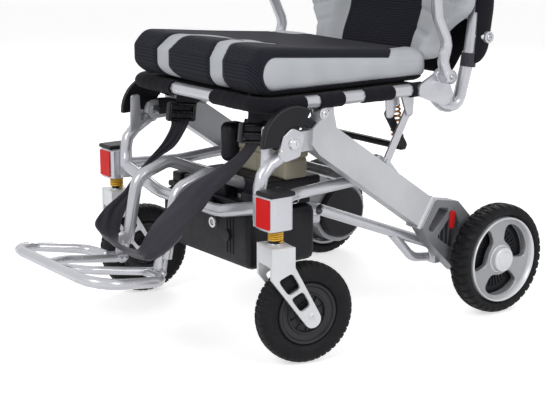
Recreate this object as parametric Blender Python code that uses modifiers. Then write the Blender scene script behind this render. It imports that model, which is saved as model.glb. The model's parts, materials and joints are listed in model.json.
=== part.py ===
"""Folding power wheelchair with a front-to-back fold.

Metres, +Z up, the floor at Z = 0. The chair faces -Y, and the user's left hand is at +X.
The chair has four bodies that fold on each other: the front frame with its sprung casters, the
rear frame with two hub motors, the seat, and the upper half of the backrest.
Every station along the chair is measured from the rear axle, which lies AXLE_Y behind the origin.
"""
import bpy
import bmesh
import math
from mathutils import Matrix, Vector

# General sizes
AXLE_Y = 0.359
GAP = 0.0003
FRAME_TUBE = 0.0125
CRADLE_TUBE = 0.011

# Width of the folding frame, which the tracks, the seat and the arms follow
FRAME_HALF_WIDTH = 0.235
BEAM_WIDTH = 0.035

# Rear wheels and hub motors
REAR_RADIUS = 0.1125
REAR_WIDTH = 0.048
REAR_WHEEL_GAP = 0.0075
REAR_TRACK = FRAME_HALF_WIDTH + BEAM_WIDTH / 2 + REAR_WHEEL_GAP + REAR_WIDTH / 2
REAR_TYRE_DEPTH = 0.0251
REAR_RIM_RADIUS = REAR_RADIUS - REAR_TYRE_DEPTH
REAR_RIM_FLANGE = 0.0052
REAR_BARREL_RADIUS = REAR_RIM_RADIUS - REAR_RIM_FLANGE
REAR_BARREL_WALL = 0.0042
REAR_CAP_RADIUS = 0.0255
REAR_AXLE_RADIUS = 0.008
RUNNING_CLEARANCE = 0.0004
WINDOW_EDGE = 0.0107
WINDOW_OUTER = REAR_BARREL_RADIUS - WINDOW_EDGE
WINDOW_INNER = 0.037
WINDOW_HALF_ANGLE = 36.0
SPOKES = 3
MOTOR_RADIUS = 0.062
MOTOR_CLAMP = 0.0105
MOTOR_INNER_X = FRAME_HALF_WIDTH - BEAM_WIDTH / 2 - 0.0135
MOTOR_OUTER_X = REAR_TRACK - 0.0255
MOTOR_SHAFT_END = REAR_TRACK + 0.016

# Caster housings
HOUSING_WIDTH = 0.044
HOUSING_STANDOFF = 0.0105
HOUSING_DEPTH = 0.052
HOUSING_BOTTOM = 0.258
HOUSING_TOP = 0.317
HOUSING_CAP_HEIGHT = 0.009
HOUSING_FLANGE_THICKNESS = 0.009
REFLECTOR_THICKNESS = 0.0022

# Casters
CASTER_RADIUS = 0.095
CASTER_WIDTH = 0.044
CASTER_RIM_RADIUS = 0.056
CASTER_TRACK = FRAME_HALF_WIDTH + FRAME_TUBE + HOUSING_STANDOFF + HOUSING_WIDTH / 2
CASTER_STEM_Y = AXLE_Y - 0.5575
CASTER_TRAIL = 0.057
CASTER_SWIVEL = -11.0
CASTER_AXLE_RADIUS = 0.006
CASTER_RIBS = 6
FORK_TOP = 0.2285
FORK_CROWN_HEIGHT = 0.030
FORK_CROWN_DEPTH = 0.046
FORK_ARM_THICKNESS = 0.0065
FORK_ARM_GAP = 0.0025
FORK_END_RADIUS = 0.0125
STEM_RADIUS = 0.0075
STEM_COLLAR_RADIUS = 0.0145
STEM_COLLAR_HEIGHT = 0.003
SUSPENSION_TRAVEL = 0.012

# Springs
CASTER_SPRING_WIRE = 0.0016
CASTER_SPRING_RADIUS = 0.0128
CASTER_SPRING_TURNS = 4.0
SHOCK_SPRING_WIRE = 0.0014
SHOCK_SPRING_RADIUS = 0.0098
SHOCK_SPRING_TURNS = 5.5
SPRING_POINTS = 8

# Pivots of the folding frame, as (Y, Z)
FRONT_PIVOT = (AXLE_Y - 0.492, 0.398)
SEAT_PIVOT = (AXLE_Y - 0.412, 0.443)
BRACE_TOP = (AXLE_Y - 0.184, 0.421)
BRACE_ELBOW = (AXLE_Y - 0.236, 0.328)
BRACE_FOOT = (AXLE_Y - 0.156, 0.238)
YOKE_PIVOT = (AXLE_Y - 0.220, 0.419)
YOKE_FOOT = (AXLE_Y - 0.178, 0.352)
SHOCK_TOP = (AXLE_Y - 0.192, 0.433)
BACK_PIVOT = (AXLE_Y - 0.0155, 0.672)
ARM_PIVOT = (AXLE_Y - 0.130, 0.492)
FOOT_PIVOT = (AXLE_Y - 0.672, 0.146)

# Rear frame
TONGUE_WIDTH = 0.015
PIVOT_BOLT_RADIUS = 0.0075
PLATE_THICKNESS = 0.004
COVER_RADIUS = 0.070
COVER_INNER_X = FRAME_HALF_WIDTH + 0.0035
COVER_OUTER_X = COVER_INNER_X + 0.010
STAY_INSET = 0.040
STAY_X = FRAME_HALF_WIDTH - STAY_INSET
STAY_TUBE = 0.0105

# Front frame
SIDE_TUBE_INSET = 0.032
SIDE_TUBE_X = FRAME_HALF_WIDTH - SIDE_TUBE_INSET
HANGER_X = 0.070
HANGER_TUBE = 0.0115
CROSS_TUBE_END_Z = 0.287
CROSS_TUBE_MIDDLE_Z = 0.256

# Battery and controller
BATTERY_SIDE_GAP = 0.048
BATTERY_HALF_WIDTH = SIDE_TUBE_X - BATTERY_SIDE_GAP
BATTERY_FRONT_Y = AXLE_Y - 0.525
BATTERY_REAR_Y = AXLE_Y - 0.365
BATTERY_BOTTOM = 0.140
BATTERY_TOP = 0.254
CONTROLLER_HALF_WIDTH = BATTERY_HALF_WIDTH - 0.005
CONTROLLER_FRONT_Y = AXLE_Y - 0.446
CONTROLLER_REAR_Y = AXLE_Y - 0.396
CONTROLLER_TOP = 0.378

# Seat
RAIL_INSET = 0.010
RAIL_X = FRAME_HALF_WIDTH - RAIL_INSET
RAIL_Z = 0.4665
RAIL_FRONT_Y = AXLE_Y - 0.541
RAIL_REAR_Y = AXLE_Y - 0.165
RAIL_BEND = 0.045
SLING_THICKNESS = 0.006
SLING_BOTTOM = 0.470
SEAT_CROSS_TUBE = 0.010
CUSHION_INSET = 0.011
CUSHION_HALF_WIDTH = RAIL_X - CUSHION_INSET
CUSHION_FRONT_Y = AXLE_Y - 0.560
CUSHION_REAR_Y = AXLE_Y - 0.150
CUSHION_FRONT_TOP = 0.582
CUSHION_REAR_TOP = 0.540
CUSHION_CROWN = 0.008
CUSHION_SINK = 0.0005
LINK_THICKNESS = 0.005
LINK_HALF_WIDTH = 0.0085
YOKE_INSET = 0.047
YOKE_X = RAIL_X - YOKE_INSET

# Backrest and arms
BACK_X = RAIL_X
BACK_TOP = 0.928
BACK_CROSS_TUBE = 0.009
BACK_PAD_INSET = 0.0145
BACK_PAD_HALF_WIDTH = BACK_X - BACK_PAD_INSET
BACK_PAD_THICKNESS = 0.046
BACK_PAD_BOTTOM = 0.548
BACK_PAD_SPLIT = 0.612
BACK_PAD_TOP = BACK_TOP - 0.043
GRIP_RADIUS = 0.0158
GRIP_LENGTH = 0.105
ARM_OUTSET = 0.0375
ARM_X = RAIL_X + ARM_OUTSET
ARM_TUBE = 0.0115
ARM_HEIGHT = 0.735
ARM_PAD_WIDTH = 0.044
ARM_PAD_LENGTH = 0.235
ARM_PAD_REAR = AXLE_Y - 0.1825
ARM_PAD_INNER_X = ARM_X - 0.018
ARM_PAD_HEIGHT = 0.030

# Joystick
JOYSTICK_WIDTH = 0.054
JOYSTICK_LENGTH = 0.104
JOYSTICK_HEIGHT = 0.034
JOYSTICK_GAP = 0.0055
JOYSTICK_Y = ARM_PAD_REAR - ARM_PAD_LENGTH - JOYSTICK_GAP - JOYSTICK_LENGTH / 2
JOYSTICK_WELL = 0.012
JOYSTICK_BALL = 0.0075

# Calf strap
STRAP_TAB_X = FRAME_HALF_WIDTH - 0.009
STRAP_HALF_SPAN = STRAP_TAB_X - GAP - 0.0015
STRAP_END_Y = AXLE_Y - 0.538
STRAP_END_Z = 0.412
STRAP_REACH = 0.158
STRAP_DROP = 0.195
STRAP_WIDTH = 0.096
STRAP_END_WIDTH = 0.040
STRAP_SAG = 2.4
STRAP_FOLD = 0.006

# Footrest
FOOTREST_FRONT_Y = AXLE_Y - 0.872
FOOTREST_FRONT_Z = 0.180
FOOTREST_HALF_WIDTH = 0.180
FOOTREST_TUBE = 0.010

BEND_STEP = 31.0
TUBE_FLAT = math.cos(math.pi / 6)
SIDES = (("left", 1), ("right", -1))


def clear_scene():
    """Empty the file and make one collection for the chair and one for its cutting shapes."""
    for old in list(bpy.data.objects):
        bpy.data.objects.remove(old, do_unlink=True)
    groups = []
    for title in ("folding_power_wheelchair", "cutting_shapes"):
        group = bpy.data.collections.new(title)
        bpy.context.scene.collection.children.link(group)
        groups.append(group)
    return groups


CHAIR, CUTTERS = clear_scene()


def material(name, colour, roughness, metallic=0.0):
    """A Principled material of one colour."""
    finish = bpy.data.materials.new(name)
    finish.use_nodes = True
    shader = finish.node_tree.nodes["Principled BSDF"]
    shader.inputs["Base Color"].default_value = (*colour, 1.0)
    shader.inputs["Roughness"].default_value = roughness
    shader.inputs["Metallic"].default_value = metallic
    return finish


SILVER = material("silver_paint", (0.62, 0.64, 0.67), 0.32, 0.75)
BEAM_SILVER = material("matt_silver", (0.66, 0.68, 0.71), 0.45, 0.6)
BRUSHED = material("brushed_aluminium", (0.70, 0.70, 0.72), 0.35, 0.9)
CAST = material("cast_aluminium", (0.55, 0.56, 0.58), 0.5, 0.7)
STEEL = material("bright_steel", (0.75, 0.75, 0.77), 0.22, 0.95)
BLACK = material("black_plastic", (0.03, 0.03, 0.035), 0.5)
BEIGE = material("beige_plastic", (0.52, 0.49, 0.40), 0.45)
RED = material("red_reflector", (0.72, 0.03, 0.02), 0.25)
RUBBER = material("tyre_rubber", (0.035, 0.035, 0.038), 0.75)
CHARCOAL = material("charcoal_rim", (0.07, 0.07, 0.075), 0.55)
YELLOW = material("yellow_spring", (0.80, 0.52, 0.05), 0.35, 0.5)
COPPER = material("copper_spring", (0.75, 0.38, 0.10), 0.35, 0.7)
FABRIC = material("black_fabric", (0.025, 0.025, 0.03), 0.9)
PAD_FOAM = material("arm_pad_foam", (0.03, 0.03, 0.03), 0.8)


def keep(thing, name, finish):
    """Name a finished solid, give it its material and put it in the chair's collection."""
    thing.name = name
    thing.data.name = name
    thing.data.materials.clear()
    thing.data.materials.append(finish)
    for group in list(thing.users_collection):
        group.objects.unlink(thing)
    CHAIR.objects.link(thing)
    return thing


def smooth(thing, angle=40.0):
    """Shade round faces smooth and leave the edges sharper than angle."""
    thing.data.shade_smooth()
    thing.data.set_sharp_from_angle(angle=math.radians(angle))
    return thing


def loose_object(name, mesh):
    """Put a mesh in the scene as a new object."""
    thing = bpy.data.objects.new(name, mesh)
    CHAIR.objects.link(thing)
    return thing


def block(name, size, centre, bevel=0.0, segments=2):
    """A box from a cube primitive, with its edges rounded by a Bevel modifier."""
    bpy.ops.mesh.primitive_cube_add(size=1.0, location=centre)
    thing = bpy.context.object
    thing.name = name
    thing.scale = size
    bpy.ops.object.transform_apply(location=False, rotation=False, scale=True)
    if bevel:
        edge = thing.modifiers.new("rounded_edges", "BEVEL")
        edge.width = bevel
        edge.segments = segments
        edge.limit_method = "ANGLE"
        smooth(thing)
    return thing


def cylinder(name, radius, ends, sides=10):
    """A cylinder between two points."""
    start = Vector(ends[0])
    along = Vector(ends[1]) - start
    bpy.ops.mesh.primitive_cylinder_add(vertices=sides, radius=radius, depth=along.length)
    thing = bpy.context.object
    thing.name = name
    turn = along.to_track_quat("Z", "Y").to_matrix().to_4x4()
    thing.matrix_world = Matrix.Translation(start + along / 2) @ turn
    return smooth(thing)


def turned(name, profile, place, steps, closed=True):
    """Turn a profile of (radius, height) points about local Z with a Screw modifier.

    The profile runs down its outer side. place is the object's matrix, which sets the axis.
    """
    mesh = bpy.data.meshes.new(name)
    points = [(radius, 0.0, height) for radius, height in profile]
    edges = [(k, k + 1) for k in range(len(points) - 1)]
    if closed:
        edges.append((len(points) - 1, 0))
    mesh.from_pydata(points, edges, [])
    thing = loose_object(name, mesh)
    screw = thing.modifiers.new("turned", "SCREW")
    screw.steps = steps
    screw.render_steps = steps
    screw.use_merge_vertices = True
    screw.merge_threshold = 0.00001
    screw.use_smooth_shade = True
    thing.matrix_world = place
    return thing


def axis_x(x, y, z, sign=1):
    """A matrix at a point that lays local Z along +X, or along -X where sign is -1."""
    return Matrix.Translation((x, y, z)) @ Matrix.Rotation(math.radians(90.0 * sign), 4, "Y")


def rounded_path(corners, bend_radius):
    """Replace the corners of a path by arcs, as a tube bender does, in steps of BEND_STEP or less."""
    corners = [Vector(corner) for corner in corners]
    points = [corners[0]]
    for before, corner, after in zip(corners, corners[1:], corners[2:]):
        inward = (corner - before).normalized()
        outward = (after - corner).normalized()
        turn = inward.angle(outward)
        if turn < 0.02:
            points.append(corner)
            continue
        radius = min(bend_radius, 0.48 * min((corner - before).length, (after - corner).length)
                     / math.tan(turn / 2))
        start = corner - inward * radius * math.tan(turn / 2)
        centre = corner + (outward - inward).normalized() * radius / math.cos(turn / 2)
        steps = math.ceil(turn / math.radians(BEND_STEP))
        axis = inward.cross(outward).normalized()
        for k in range(steps + 1):
            points.append(centre + Matrix.Rotation(turn * k / steps, 3, axis) @ (start - centre))
    points.append(corners[-1])
    return points


def curve_tube(name, points, radius, resolution=2):
    """A round tube along points, as a curve with a bevel and filled caps."""
    data = bpy.data.curves.new(name, "CURVE")
    data.dimensions = "3D"
    data.bevel_depth = radius
    data.bevel_resolution = resolution
    data.resolution_u = 1
    data.render_resolution_u = 0
    data.use_fill_caps = True
    line = data.splines.new("POLY")
    line.points.add(len(points) - 1)
    for spot, point in zip(line.points, points):
        spot.co = (*point, 1.0)
    thing = bpy.data.objects.new(name, data)
    CHAIR.objects.link(thing)
    return thing


def to_mesh(thing, weld=0.00001):
    """Swap a curve for a mesh object whose caps are welded, so that it can be cut or joined."""
    bpy.context.view_layer.update()
    scene_state = bpy.context.evaluated_depsgraph_get()
    mesh = bpy.data.meshes.new_from_object(thing.evaluated_get(scene_state))
    shape = bmesh.new()
    shape.from_mesh(mesh)
    bmesh.ops.remove_doubles(shape, verts=shape.verts, dist=weld)
    bmesh.ops.recalc_face_normals(shape, faces=shape.faces)
    shape.to_mesh(mesh)
    shape.free()
    name = thing.name
    place = thing.matrix_world.copy()
    bpy.data.objects.remove(thing, do_unlink=True)
    solid = loose_object(name, mesh)
    solid.matrix_world = place
    return smooth(solid)


def tube(name, corners, radius, bend_radius=0.04, resolution=2):
    """A bent tube as a mesh solid."""
    return to_mesh(curve_tube(name, rounded_path(corners, bend_radius), radius, resolution))


def rounded_outline(corners, radius, steps=2):
    """Round the corners of a closed flat outline, given as (a, b) points."""
    count = len(corners)
    points = []
    for k in range(count):
        before = Vector(corners[k - 1])
        corner = Vector(corners[k])
        after = Vector(corners[(k + 1) % count])
        inward = (corner - before).normalized()
        outward = (after - corner).normalized()
        turn = inward.angle(outward)
        if turn < 0.05:
            points.append(corner)
            continue
        reach = min(radius * math.tan(turn / 2),
                    0.45 * min((corner - before).length, (after - corner).length))
        start = corner - inward * reach
        end = corner + outward * reach
        for n in range(steps + 1):
            t = n / steps
            points.append(start * (1 - t) ** 2 + corner * (2 * t * (1 - t)) + end * t * t)
    return points


def plate(name, outline, x_low, x_high):
    """A flat plate in the YZ plane between two X stations, from a filled and extruded outline."""
    data = bpy.data.curves.new(name, "CURVE")
    data.dimensions = "2D"
    data.fill_mode = "BOTH"
    data.extrude = (x_high - x_low) / 2
    line = data.splines.new("POLY")
    line.points.add(len(outline) - 1)
    for spot, point in zip(line.points, outline):
        spot.co = (point[0], point[1], 0.0, 1.0)
    line.use_cyclic_u = True
    thing = bpy.data.objects.new(name, data)
    CHAIR.objects.link(thing)
    thing.matrix_world = Matrix(((0, 0, 1, (x_low + x_high) / 2),
                                 (1, 0, 0, 0), (0, 1, 0, 0), (0, 0, 0, 1)))
    return to_mesh(thing)


def side_plate(name, outline, x_near, x_far, sign):
    """A plate whose X stations are given for the left side and mirrored for the right."""
    low, high = sorted((sign * x_near, sign * x_far))
    return plate(name, outline, low, high)


def capsule_outline(first, second, radius, steps=5):
    """The outline of a flat link with round ends, around two centres."""
    first = Vector(first)
    second = Vector(second)
    heading = math.atan2(second.y - first.y, second.x - first.x)
    points = []
    for centre, middle in ((second, heading), (first, heading + math.pi)):
        for k in range(steps + 1):
            angle = middle - math.pi / 2 + math.pi * k / steps
            points.append((centre.x + radius * math.cos(angle), centre.y + radius * math.sin(angle)))
    return points


def modify(base, others, operation):
    """Join other solids to base, or cut them out of it, with exact Booleans."""
    for other in others:
        step = base.modifiers.new(other.name, "BOOLEAN")
        step.operation = operation
        step.solver = "EXACT"
        step.object = other
        other.hide_render = True
        other.display_type = "WIRE"
        for group in list(other.users_collection):
            group.objects.unlink(other)
        CUTTERS.objects.link(other)
    return base


def joined(base, *others):
    return modify(base, others, "UNION")


def cut(base, *others):
    return modify(base, others, "DIFFERENCE")


def with_cutters(thing):
    """The object and every shape that its Booleans use."""
    family = [thing]
    for step in thing.modifiers:
        if step.type == "BOOLEAN":
            family += with_cutters(step.object)
    return family


def joint_empty(name, place, parent=None):
    """An empty on a joint's axis, which carries the pieces that move with it."""
    empty = bpy.data.objects.new(name, None)
    empty.empty_display_size = 0.03
    CHAIR.objects.link(empty)
    empty.matrix_world = place
    if parent:
        bpy.context.view_layer.update()
        empty.parent = parent
        empty.matrix_parent_inverse = parent.matrix_world.inverted()
    return empty


def carry(empty, *things):
    """Parent pieces to a joint's empty and leave them where they are."""
    bpy.context.view_layer.update()
    for thing in things:
        for piece in with_cutters(thing):
            piece.parent = empty
            piece.matrix_parent_inverse = empty.matrix_world.inverted()


def carry_local(empty, *things):
    """Parent pieces that were modelled in the empty's own coordinates."""
    for thing in things:
        for piece in with_cutters(thing):
            piece.parent = empty


def station(y_from_axle, z):
    """A (Y, Z) point measured from the rear axle."""
    return (AXLE_Y + y_from_axle, z)


def side_points(x, stations, sign=1):
    """Turn (Y, Z) stations into points at one X."""
    return [(sign * x, y, z) for y, z in stations]


def coil(name, foot, head, mean_radius, wire_radius, turns):
    """An open helical spring between two points, as one unbroken wire, with its least gap printed."""
    foot = Vector(foot)
    axis = Vector(head) - foot
    frame = axis.to_track_quat("Z", "Y").to_matrix()
    count = int(round(turns * SPRING_POINTS)) + 1
    points = []
    for k in range(count):
        angle = 2 * math.pi * turns * k / (count - 1)
        local = Vector((mean_radius * math.cos(angle), mean_radius * math.sin(angle),
                        axis.length * k / (count - 1)))
        points.append(foot + frame @ local)
    least = min((points[a] - points[b]).length for a in range(count)
                for b in range(a + SPRING_POINTS // 2, count))
    print(name, "least gap between coils, mm:", round((least - 2 * wire_radius) * 1000, 2))
    return curve_tube(name, points, wire_radius, resolution=1)


def cushion(name, centre, size, crown, pinch, across):
    """A soft pad: a coarse cage, smoothed by a Subdivision Surface.

    across lists the cage lines as shares of the half size. The faces rise to a crown in the middle,
    and the sides draw in by pinch at half height.
    """
    lines = [value * side for value in across for side in (-1, 1)]
    lines = sorted(set(lines))
    last = len(lines) - 1
    shape = bmesh.new()
    rows = {}
    for i, u in enumerate(lines):
        for j, v in enumerate(lines):
            for k, w in enumerate((-1, 0, 1)):
                if 0 < i < last and 0 < j < last and k == 1:
                    continue
                draw = 1 - pinch * (w == 0)
                lift = crown * (1 - u * u) * (1 - v * v) * w
                rows[i, j, k] = shape.verts.new((u * draw * size[0] / 2, v * draw * size[1] / 2,
                                                 w * size[2] / 2 + lift))
    for i in range(last):
        for j in range(last):
            for k in (0, 2):
                shape.faces.new([rows[i, j, k], rows[i + 1, j, k], rows[i + 1, j + 1, k], rows[i, j + 1, k]])
    for n in range(last):
        for k in (0, 1):
            for side in (0, last):
                shape.faces.new([rows[n, side, k], rows[n + 1, side, k],
                                 rows[n + 1, side, k + 1], rows[n, side, k + 1]])
                shape.faces.new([rows[side, n, k], rows[side, n + 1, k],
                                 rows[side, n + 1, k + 1], rows[side, n, k + 1]])
    bmesh.ops.recalc_face_normals(shape, faces=shape.faces)
    mesh = bpy.data.meshes.new(name)
    shape.to_mesh(mesh)
    shape.free()
    thing = loose_object(name, mesh)
    thing.location = centre
    soft = thing.modifiers.new("softened", "SUBSURF")
    soft.levels = 1
    soft.render_levels = 1
    mesh.shade_smooth()
    return thing


def rear_wheel(side, sign):
    """Tyre and three-spoke rim of one driven wheel, on its axle's empty."""
    hub = joint_empty(side + "_rear_wheel_axis", Matrix.Translation((sign * REAR_TRACK, AXLE_Y, REAR_RADIUS)))
    place = axis_x(sign * REAR_TRACK, AXLE_Y, REAR_RADIUS, sign)
    half = REAR_WIDTH / 2
    bead = REAR_BARREL_RADIUS + GAP
    outer = [(REAR_RIM_RADIUS + GAP, half - 0.0042), (REAR_RIM_RADIUS + 0.0020, half - 0.0008),
             (REAR_RADIUS - 0.0120, half), (REAR_RADIUS - 0.0022, half - 0.0085)]
    profile = outer + [(REAR_RADIUS, 0.0)] + [(r, -h) for r, h in reversed(outer)]
    profile[-1] = (bead, -(half - 0.0042))
    profile += [(bead, half - 0.0047)]
    tyre = keep(turned("tyre", profile, place, 24), "rear_tyre_" + side, RUBBER)

    flange = half - 0.001
    seat = half - 0.0042 + GAP
    bore = REAR_AXLE_RADIUS + RUNNING_CLEARANCE
    inner_edge = REAR_BARREL_RADIUS - REAR_BARREL_WALL
    profile = [(0.0, flange + 0.0010), (REAR_CAP_RADIUS - 0.003, flange),
               (REAR_CAP_RADIUS, 0.0150), (REAR_RIM_RADIUS - 0.0140, 0.0165),
               (REAR_RIM_RADIUS, flange),
               (REAR_RIM_RADIUS, seat + 0.0004), (REAR_BARREL_RADIUS, half - 0.0047 + GAP),
               (REAR_BARREL_RADIUS, -flange), (inner_edge, -flange), (inner_edge, 0.0050),
               (0.0200, 0.0050), (0.0200, -0.0120), (bore, -0.0120), (bore, 0.0175), (0.0, 0.0175)]
    rim = turned("rim", profile, place, 24, closed=False)
    windows = []
    for k in range(SPOKES):
        middle = math.radians(64.0 + 360.0 / SPOKES * k)
        spread = math.radians(WINDOW_HALF_ANGLE)
        arc = [(radius, middle + spread * share) for radius, shares in
               ((WINDOW_OUTER, (-1.0, -0.5, 0.0, 0.5, 1.0)), (WINDOW_INNER, (0.72, 0.0, -0.72)))
               for share in shares]
        corners = [(AXLE_Y + radius * math.cos(angle), REAR_RADIUS + radius * math.sin(angle))
                   for radius, angle in arc]
        windows.append(side_plate("window", rounded_outline(corners, 0.010, 1),
                                  REAR_TRACK - 0.004, REAR_TRACK + REAR_WIDTH / 2 + 0.01, sign))
    keep(cut(rim, *windows), "rear_rim_" + side, BRUSHED)
    carry(hub, tyre, rim)
    return hub


def caster(side, sign):
    """One caster: stem, fork, wheel and coil spring, swivelled as it stands at rest."""
    turn = Matrix.Rotation(math.radians(CASTER_SWIVEL), 4, "Z")
    place = Matrix.Translation((sign * CASTER_TRACK, CASTER_STEM_Y, 0.0))
    slide = joint_empty(side + "_caster_slide", place)
    swivel = joint_empty(side + "_caster_swivel", place @ turn, slide)

    collar_low = FORK_TOP + GAP
    collar_high = collar_low + STEM_COLLAR_HEIGHT
    head = HOUSING_TOP - SUSPENSION_TRAVEL - 0.004
    profile = [(0.0, head), (STEM_RADIUS - 0.001, head), (STEM_RADIUS, head - 0.001),
               (STEM_RADIUS, collar_high), (STEM_COLLAR_RADIUS, collar_high),
               (STEM_COLLAR_RADIUS, collar_low), (STEM_RADIUS, collar_low),
               (STEM_RADIUS, FORK_TOP - 0.018), (0.0, FORK_TOP - 0.018)]
    stem = keep(turned("stem", profile, place, 12, closed=False), "caster_stem_" + side, STEEL)
    carry(slide, stem)

    foot = (sign * CASTER_TRACK, CASTER_STEM_Y, collar_high + CASTER_SPRING_WIRE + GAP)
    top = (sign * CASTER_TRACK, CASTER_STEM_Y, HOUSING_BOTTOM - CASTER_SPRING_WIRE - GAP)
    keep(coil("caster_spring_" + side, foot, top, CASTER_SPRING_RADIUS, CASTER_SPRING_WIRE,
              CASTER_SPRING_TURNS), "caster_spring_" + side, YELLOW)

    arm_inner = CASTER_WIDTH / 2 + FORK_ARM_GAP
    arm_outer = arm_inner + FORK_ARM_THICKNESS
    axle = (CASTER_TRAIL, CASTER_RADIUS)
    crown = block("crown", (2 * arm_outer, FORK_CROWN_DEPTH, FORK_CROWN_HEIGHT),
                  (0.0, 0.001, FORK_TOP - FORK_CROWN_HEIGHT / 2), 0.004, 1)
    pieces = []
    crown_front = 0.001 - FORK_CROWN_DEPTH / 2
    arm = [(crown_front, FORK_TOP - 0.004), (crown_front, 0.190), (0.004, 0.152),
           (axle[0] - FORK_END_RADIUS, axle[1] + 0.006)]
    for k in range(5):
        angle = math.pi + math.pi * k / 4 - 0.15
        arm.append((axle[0] + FORK_END_RADIUS * math.cos(angle), axle[1] + FORK_END_RADIUS * math.sin(angle)))
    arm += [(0.048, 0.150), (crown_front + FORK_CROWN_DEPTH, 0.190),
            (crown_front + FORK_CROWN_DEPTH, FORK_TOP - 0.004)]
    for way in (1, -1):
        cheek = side_plate("cheek", rounded_outline(arm, 0.004, 1), arm_inner, arm_outer, way)
        for low, high, width in ((0.157, 0.176, 0.0145), (0.128, 0.149, 0.0105)):
            shift_low = 0.014 + (0.176 - low) * 0.62
            shift_high = 0.014 + (0.176 - high) * 0.62
            hole = [(shift_high - width / 2, high), (shift_low - width / 2, low),
                    (shift_low + width / 2, low), (shift_high + width / 2, high)]
            cut(cheek, side_plate("fork_window", hole,
                                  arm_inner - 0.002, arm_outer + 0.002, way))
        pieces.append(cheek)
    reach = arm_outer + 0.0015
    pieces.append(cylinder("axle", CASTER_AXLE_RADIUS, ((-reach, *axle), (reach, *axle))))
    socket = cylinder("socket", STEM_RADIUS + RUNNING_CLEARANCE,
                      ((0, 0, FORK_TOP - 0.0185), (0, 0, FORK_TOP + 0.01)), 14)
    fork = keep(cut(joined(crown, *pieces), socket), "caster_fork_" + side, SILVER)
    carry_local(swivel, fork)

    wheel = joint_empty(side + "_caster_wheel_axis", Matrix.Translation((0.0, *axle)))
    wheel.parent = swivel
    half = CASTER_WIDTH / 2
    bead = CASTER_RIM_RADIUS + GAP
    flat = axis_x(0.0, 0.0, 0.0)
    outer = [(bead, half - 0.008), (CASTER_RIM_RADIUS + 0.006, half - 0.0025),
             (CASTER_RADIUS - 0.012, half - 0.0005), (CASTER_RADIUS - 0.0022, half - 0.0085)]
    profile = outer + [(CASTER_RADIUS, 0.0)] + [(r, -h) for r, h in reversed(outer)]
    tyre = keep(turned("tyre", profile, flat, 20), "caster_tyre_" + side, RUBBER)
    bore = CASTER_AXLE_RADIUS + RUNNING_CLEARANCE
    hub = half + FORK_ARM_GAP - 0.0008
    outer = [(bore, hub), (0.013, hub), (0.014, 0.0070),
             (CASTER_RIM_RADIUS - 0.006, half - 0.008), (CASTER_RIM_RADIUS, half - 0.008)]
    profile = outer + [(r, -h) for r, h in reversed(outer)]
    rim = turned("rim", profile, flat, 20)
    ribs = []
    for k in range(CASTER_RIBS // 2):
        rib = block("rib", (0.025, 0.0030, 2 * CASTER_RIM_RADIUS - 0.015), (0, 0, 0))
        rib.rotation_euler = (2 * math.pi * k / CASTER_RIBS, 0, 0)
        ribs.append(rib)
    shaft = cylinder("shaft", bore + 0.0004, ((-hub - 0.01, 0, 0), (hub + 0.01, 0, 0)))
    rim = keep(cut(joined(rim, *ribs), shaft), "caster_rim_" + side, CHARCOAL)
    carry_local(wheel, tyre, rim)


def caster_housing(sign):
    """The block that holds a caster stem, its inboard flange, and the bore to cut in it."""
    x = sign * CASTER_TRACK
    depth = HOUSING_DEPTH
    front = CASTER_STEM_Y - depth / 2
    height = HOUSING_TOP - HOUSING_BOTTOM
    middle = (HOUSING_TOP + HOUSING_BOTTOM) / 2
    body = block("housing", (HOUSING_WIDTH, depth, height), (x, CASTER_STEM_Y, middle))
    body.data.attributes.new("bevel_weight_edge", "FLOAT", "EDGE")
    weights = body.data.attributes["bevel_weight_edge"].data
    for edge, weight in zip(body.data.edges, weights):
        start, end = (body.data.vertices[k].co for k in edge.vertices)
        upright = abs(start.z - end.z) > height / 2
        weight.value = 1.0 if upright and start.x * sign > 0 else 0.0
    rounding = body.modifiers.new("rounded_side", "BEVEL")
    rounding.limit_method = "WEIGHT"
    rounding.width = HOUSING_WIDTH * 0.42
    rounding.segments = 4
    flange_near = FRAME_HALF_WIDTH + FRAME_TUBE - 0.002
    flange_far = CASTER_TRACK - HOUSING_WIDTH / 2 + 0.004
    flange = block("flange", (flange_far - flange_near, HOUSING_FLANGE_THICKNESS + 0.016, height),
                   (sign * (flange_near + flange_far) / 2, front + 0.0125, middle), 0.002, 1)
    bore = cylinder("bore", STEM_RADIUS + RUNNING_CLEARANCE,
                    ((x, CASTER_STEM_Y, HOUSING_BOTTOM - 0.01), (x, CASTER_STEM_Y, HOUSING_TOP - 0.003)), 14)
    return body, flange, bore


def housing_trim():
    """The black caps on the housings and the red reflectors on their front faces."""
    for side, sign in SIDES:
        x = sign * CASTER_TRACK
        cap = block("cap", (HOUSING_WIDTH + 0.004, HOUSING_DEPTH + 0.004, HOUSING_CAP_HEIGHT),
                    (x, CASTER_STEM_Y, HOUSING_TOP + GAP + HOUSING_CAP_HEIGHT / 2), 0.0035)
        keep(cap, "housing_cap_" + side, BLACK)
        face = CASTER_STEM_Y - HOUSING_DEPTH / 2 - GAP - REFLECTOR_THICKNESS / 2
        reflector = block("reflector", (HOUSING_WIDTH - 0.004, REFLECTOR_THICKNESS,
                                        HOUSING_TOP - HOUSING_BOTTOM - 0.005),
                          (x - sign * 0.0015, face, (HOUSING_TOP + HOUSING_BOTTOM) / 2), 0.0008, 1)
        keep(reflector, "reflector_" + side, RED)


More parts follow.
